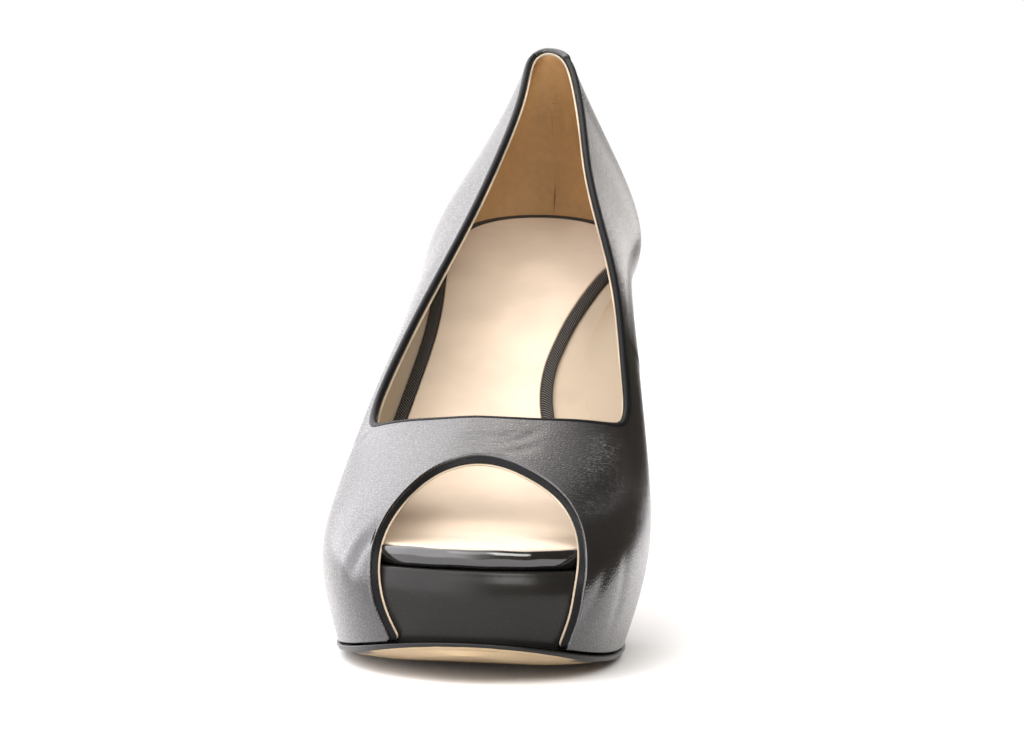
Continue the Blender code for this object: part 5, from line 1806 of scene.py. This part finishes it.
class PUMP_OT_stage(bpy.types.Operator):
    """Set the floor, the lights and the camera"""
    bl_idname = "pump.stage"
    bl_label = "Stage"

    def execute(self, context):
        scene = bpy.context.scene
        self.add_floor(scene)
        for lamp in LAMPS:
            self.add_lamp(scene, lamp)
        self.add_world(scene)
        self.add_camera(scene)
        scene.view_settings.view_transform = "Standard"
        return {"FINISHED"}

    def add_floor(self, scene):
        radius = np.linspace(0.0, 1.0, FLOOR_RINGS)[:, None] ** 2 * FLOOR_RADIUS
        angle = np.linspace(0.0, 2.0 * np.pi, FLOOR_SIDES, endpoint=False)[None, :]
        level = np.full((FLOOR_RINGS, FLOOR_SIDES), -FLOOR_DROP)
        points = np.stack([radius * np.cos(angle), radius * np.sin(angle), level], axis=-1)
        faces = grid_faces(FLOOR_RINGS, FLOOR_SIDES, (False, True))
        mesh = bpy.data.meshes.new("floor")
        mesh.from_pydata(points.reshape(-1, 3).tolist(), [], faces.tolist())
        material, nodes = new_material("pale floor")
        slow = nodes.noise(nodes.place(), FLOOR_CLOUD_SIZE)
        shade = nodes.mix(slow, grey(FLOOR_DARK), grey(FLOOR_PALE))
        finish(material, nodes, Base_Color=shade, Roughness=FLOOR_ROUGHNESS)
        mesh.materials.append(material)
        piece = bpy.data.objects.new("floor", mesh)
        scene.collection.objects.link(piece)

    def add_lamp(self, scene, lamp):
        light = bpy.data.lights.new(lamp.name, "AREA")
        light.shape = "RECTANGLE"
        light.size = lamp.width
        light.size_y = lamp.height
        light.energy = lamp.power
        light.color = lamp.colour
        holder = bpy.data.objects.new(lamp.name, light)
        holder.location = lamp.place
        holder.visible_camera = False
        aim = Vector(lamp.target) - Vector(lamp.place)
        holder.rotation_euler = aim.to_track_quat("-Z", "Y").to_euler()
        scene.collection.objects.link(holder)

    def add_world(self, scene):
        """A sky that is plain white to the camera, and lights the shoe by its glows."""
        world = bpy.data.worlds.new("studio")
        scene.world = world
        world.use_nodes = True
        nodes = Nodes(world.node_tree)
        direction = nodes.node("ShaderNodeTexCoord", output="Generated")

        def toward(glow):
            inputs = {0: direction, 1: glow.aim}
            cosine = nodes.node("ShaderNodeVectorMath", {"operation": "DOT_PRODUCT"}, inputs, "Value")
            return cosine.step(glow.low, glow.high)

        seen = nodes.node("ShaderNodeLightPath", output="Is Camera Ray")
        dusk = toward(DUSK)
        light = toward(OUTER_GLOW) * (1.0 - toward(HEEL_SHADE)) * OUTER_POWER
        for glow, power in SMALL_GLOWS:
            light = light + toward(glow) * power
        light = light + dusk * DUSK_POWER + SKY_LEAST
        tint = nodes.mix(toward(COOL_SIDE), WARM_TINT, COOL_TINT)
        tint = nodes.mix(dusk, tint, DUSK_TINT)
        background = world.node_tree.nodes["Background"]
        nodes.feed(background.inputs["Color"], nodes.mix(seen, tint, grey(1.0)))
        nodes.feed(background.inputs["Strength"], light * (1.0 - seen) + seen)

    def add_camera(self, scene):
        forward = Vector((np.sin(CAMERA_AZIMUTH) * np.cos(CAMERA_ELEVATION),
                          np.cos(CAMERA_AZIMUTH) * np.cos(CAMERA_ELEVATION), -np.sin(CAMERA_ELEVATION)))
        level = Vector((np.cos(CAMERA_AZIMUTH), -np.sin(CAMERA_AZIMUTH), 0.0))
        upright = level.cross(forward)
        right = np.cos(CAMERA_ROLL) * level + np.sin(CAMERA_ROLL) * upright
        upward = np.cos(CAMERA_ROLL) * upright - np.sin(CAMERA_ROLL) * level
        target = Vector((CAMERA_TARGET - CENTRE) * MM)
        data = bpy.data.cameras.new("camera")
        data.lens = CAMERA_LENS
        data.sensor_width = CAMERA_SENSOR
        data.clip_start = CAMERA_NEAREST
        camera = bpy.data.objects.new("camera", data)
        turn = Matrix((right, upward, -forward)).transposed().to_4x4()
        camera.matrix_world = Matrix.Translation(target - forward * CAMERA_DISTANCE * MM) @ turn
        scene.collection.objects.link(camera)
        scene.camera = camera


class PUMP_PT_panel(bpy.types.Panel):
    """Lists the pump's sizes and steps in the sidebar"""
    bl_idname = "PUMP_PT_panel"
    bl_label = "Peep-toe pump"
    bl_space_type = "VIEW_3D"
    bl_region_type = "UI"
    bl_category = "Pump"

    def draw(self, context):
        for name in PumpSizes.__annotations__:
            self.layout.prop(context.scene.pump_sizes, name)
        for operator in OPERATORS:
            self.layout.operator(operator.bl_idname)


OPERATORS = (PUMP_OT_upper, PUMP_OT_rims, PUMP_OT_lining, PUMP_OT_heel_tab, PUMP_OT_stitches,
             PUMP_OT_outsole, PUMP_OT_platform, PUMP_OT_toe_roll, PUMP_OT_footbed, PUMP_OT_insole,
             PUMP_OT_binding, PUMP_OT_heel, PUMP_OT_top_lift, PUMP_OT_stage)
CLASSES = (PumpSizes,) + OPERATORS + (PUMP_PT_panel,)


def register():
    for entry in CLASSES:
        bpy.utils.register_class(entry)
    bpy.types.Scene.pump_sizes = bpy.props.PointerProperty(type=PumpSizes)


def unregister():
    del bpy.types.Scene.pump_sizes
    for entry in reversed(CLASSES):
        bpy.utils.unregister_class(entry)


def plain(box):
    return [[float(value) for value in corner] for corner in box]


def main():
    register()
    bpy.ops.pump.upper()
    bpy.ops.pump.rims()
    bpy.ops.pump.lining()
    bpy.ops.pump.heel_tab()
    bpy.ops.pump.stitches()
    bpy.ops.pump.outsole()
    bpy.ops.pump.platform()
    bpy.ops.pump.toe_roll()
    bpy.ops.pump.footbed()
    bpy.ops.pump.insole()
    bpy.ops.pump.binding()
    bpy.ops.pump.heel()
    bpy.ops.pump.top_lift()
    bpy.ops.pump.stage()


if __name__ == "__main__":
    main()
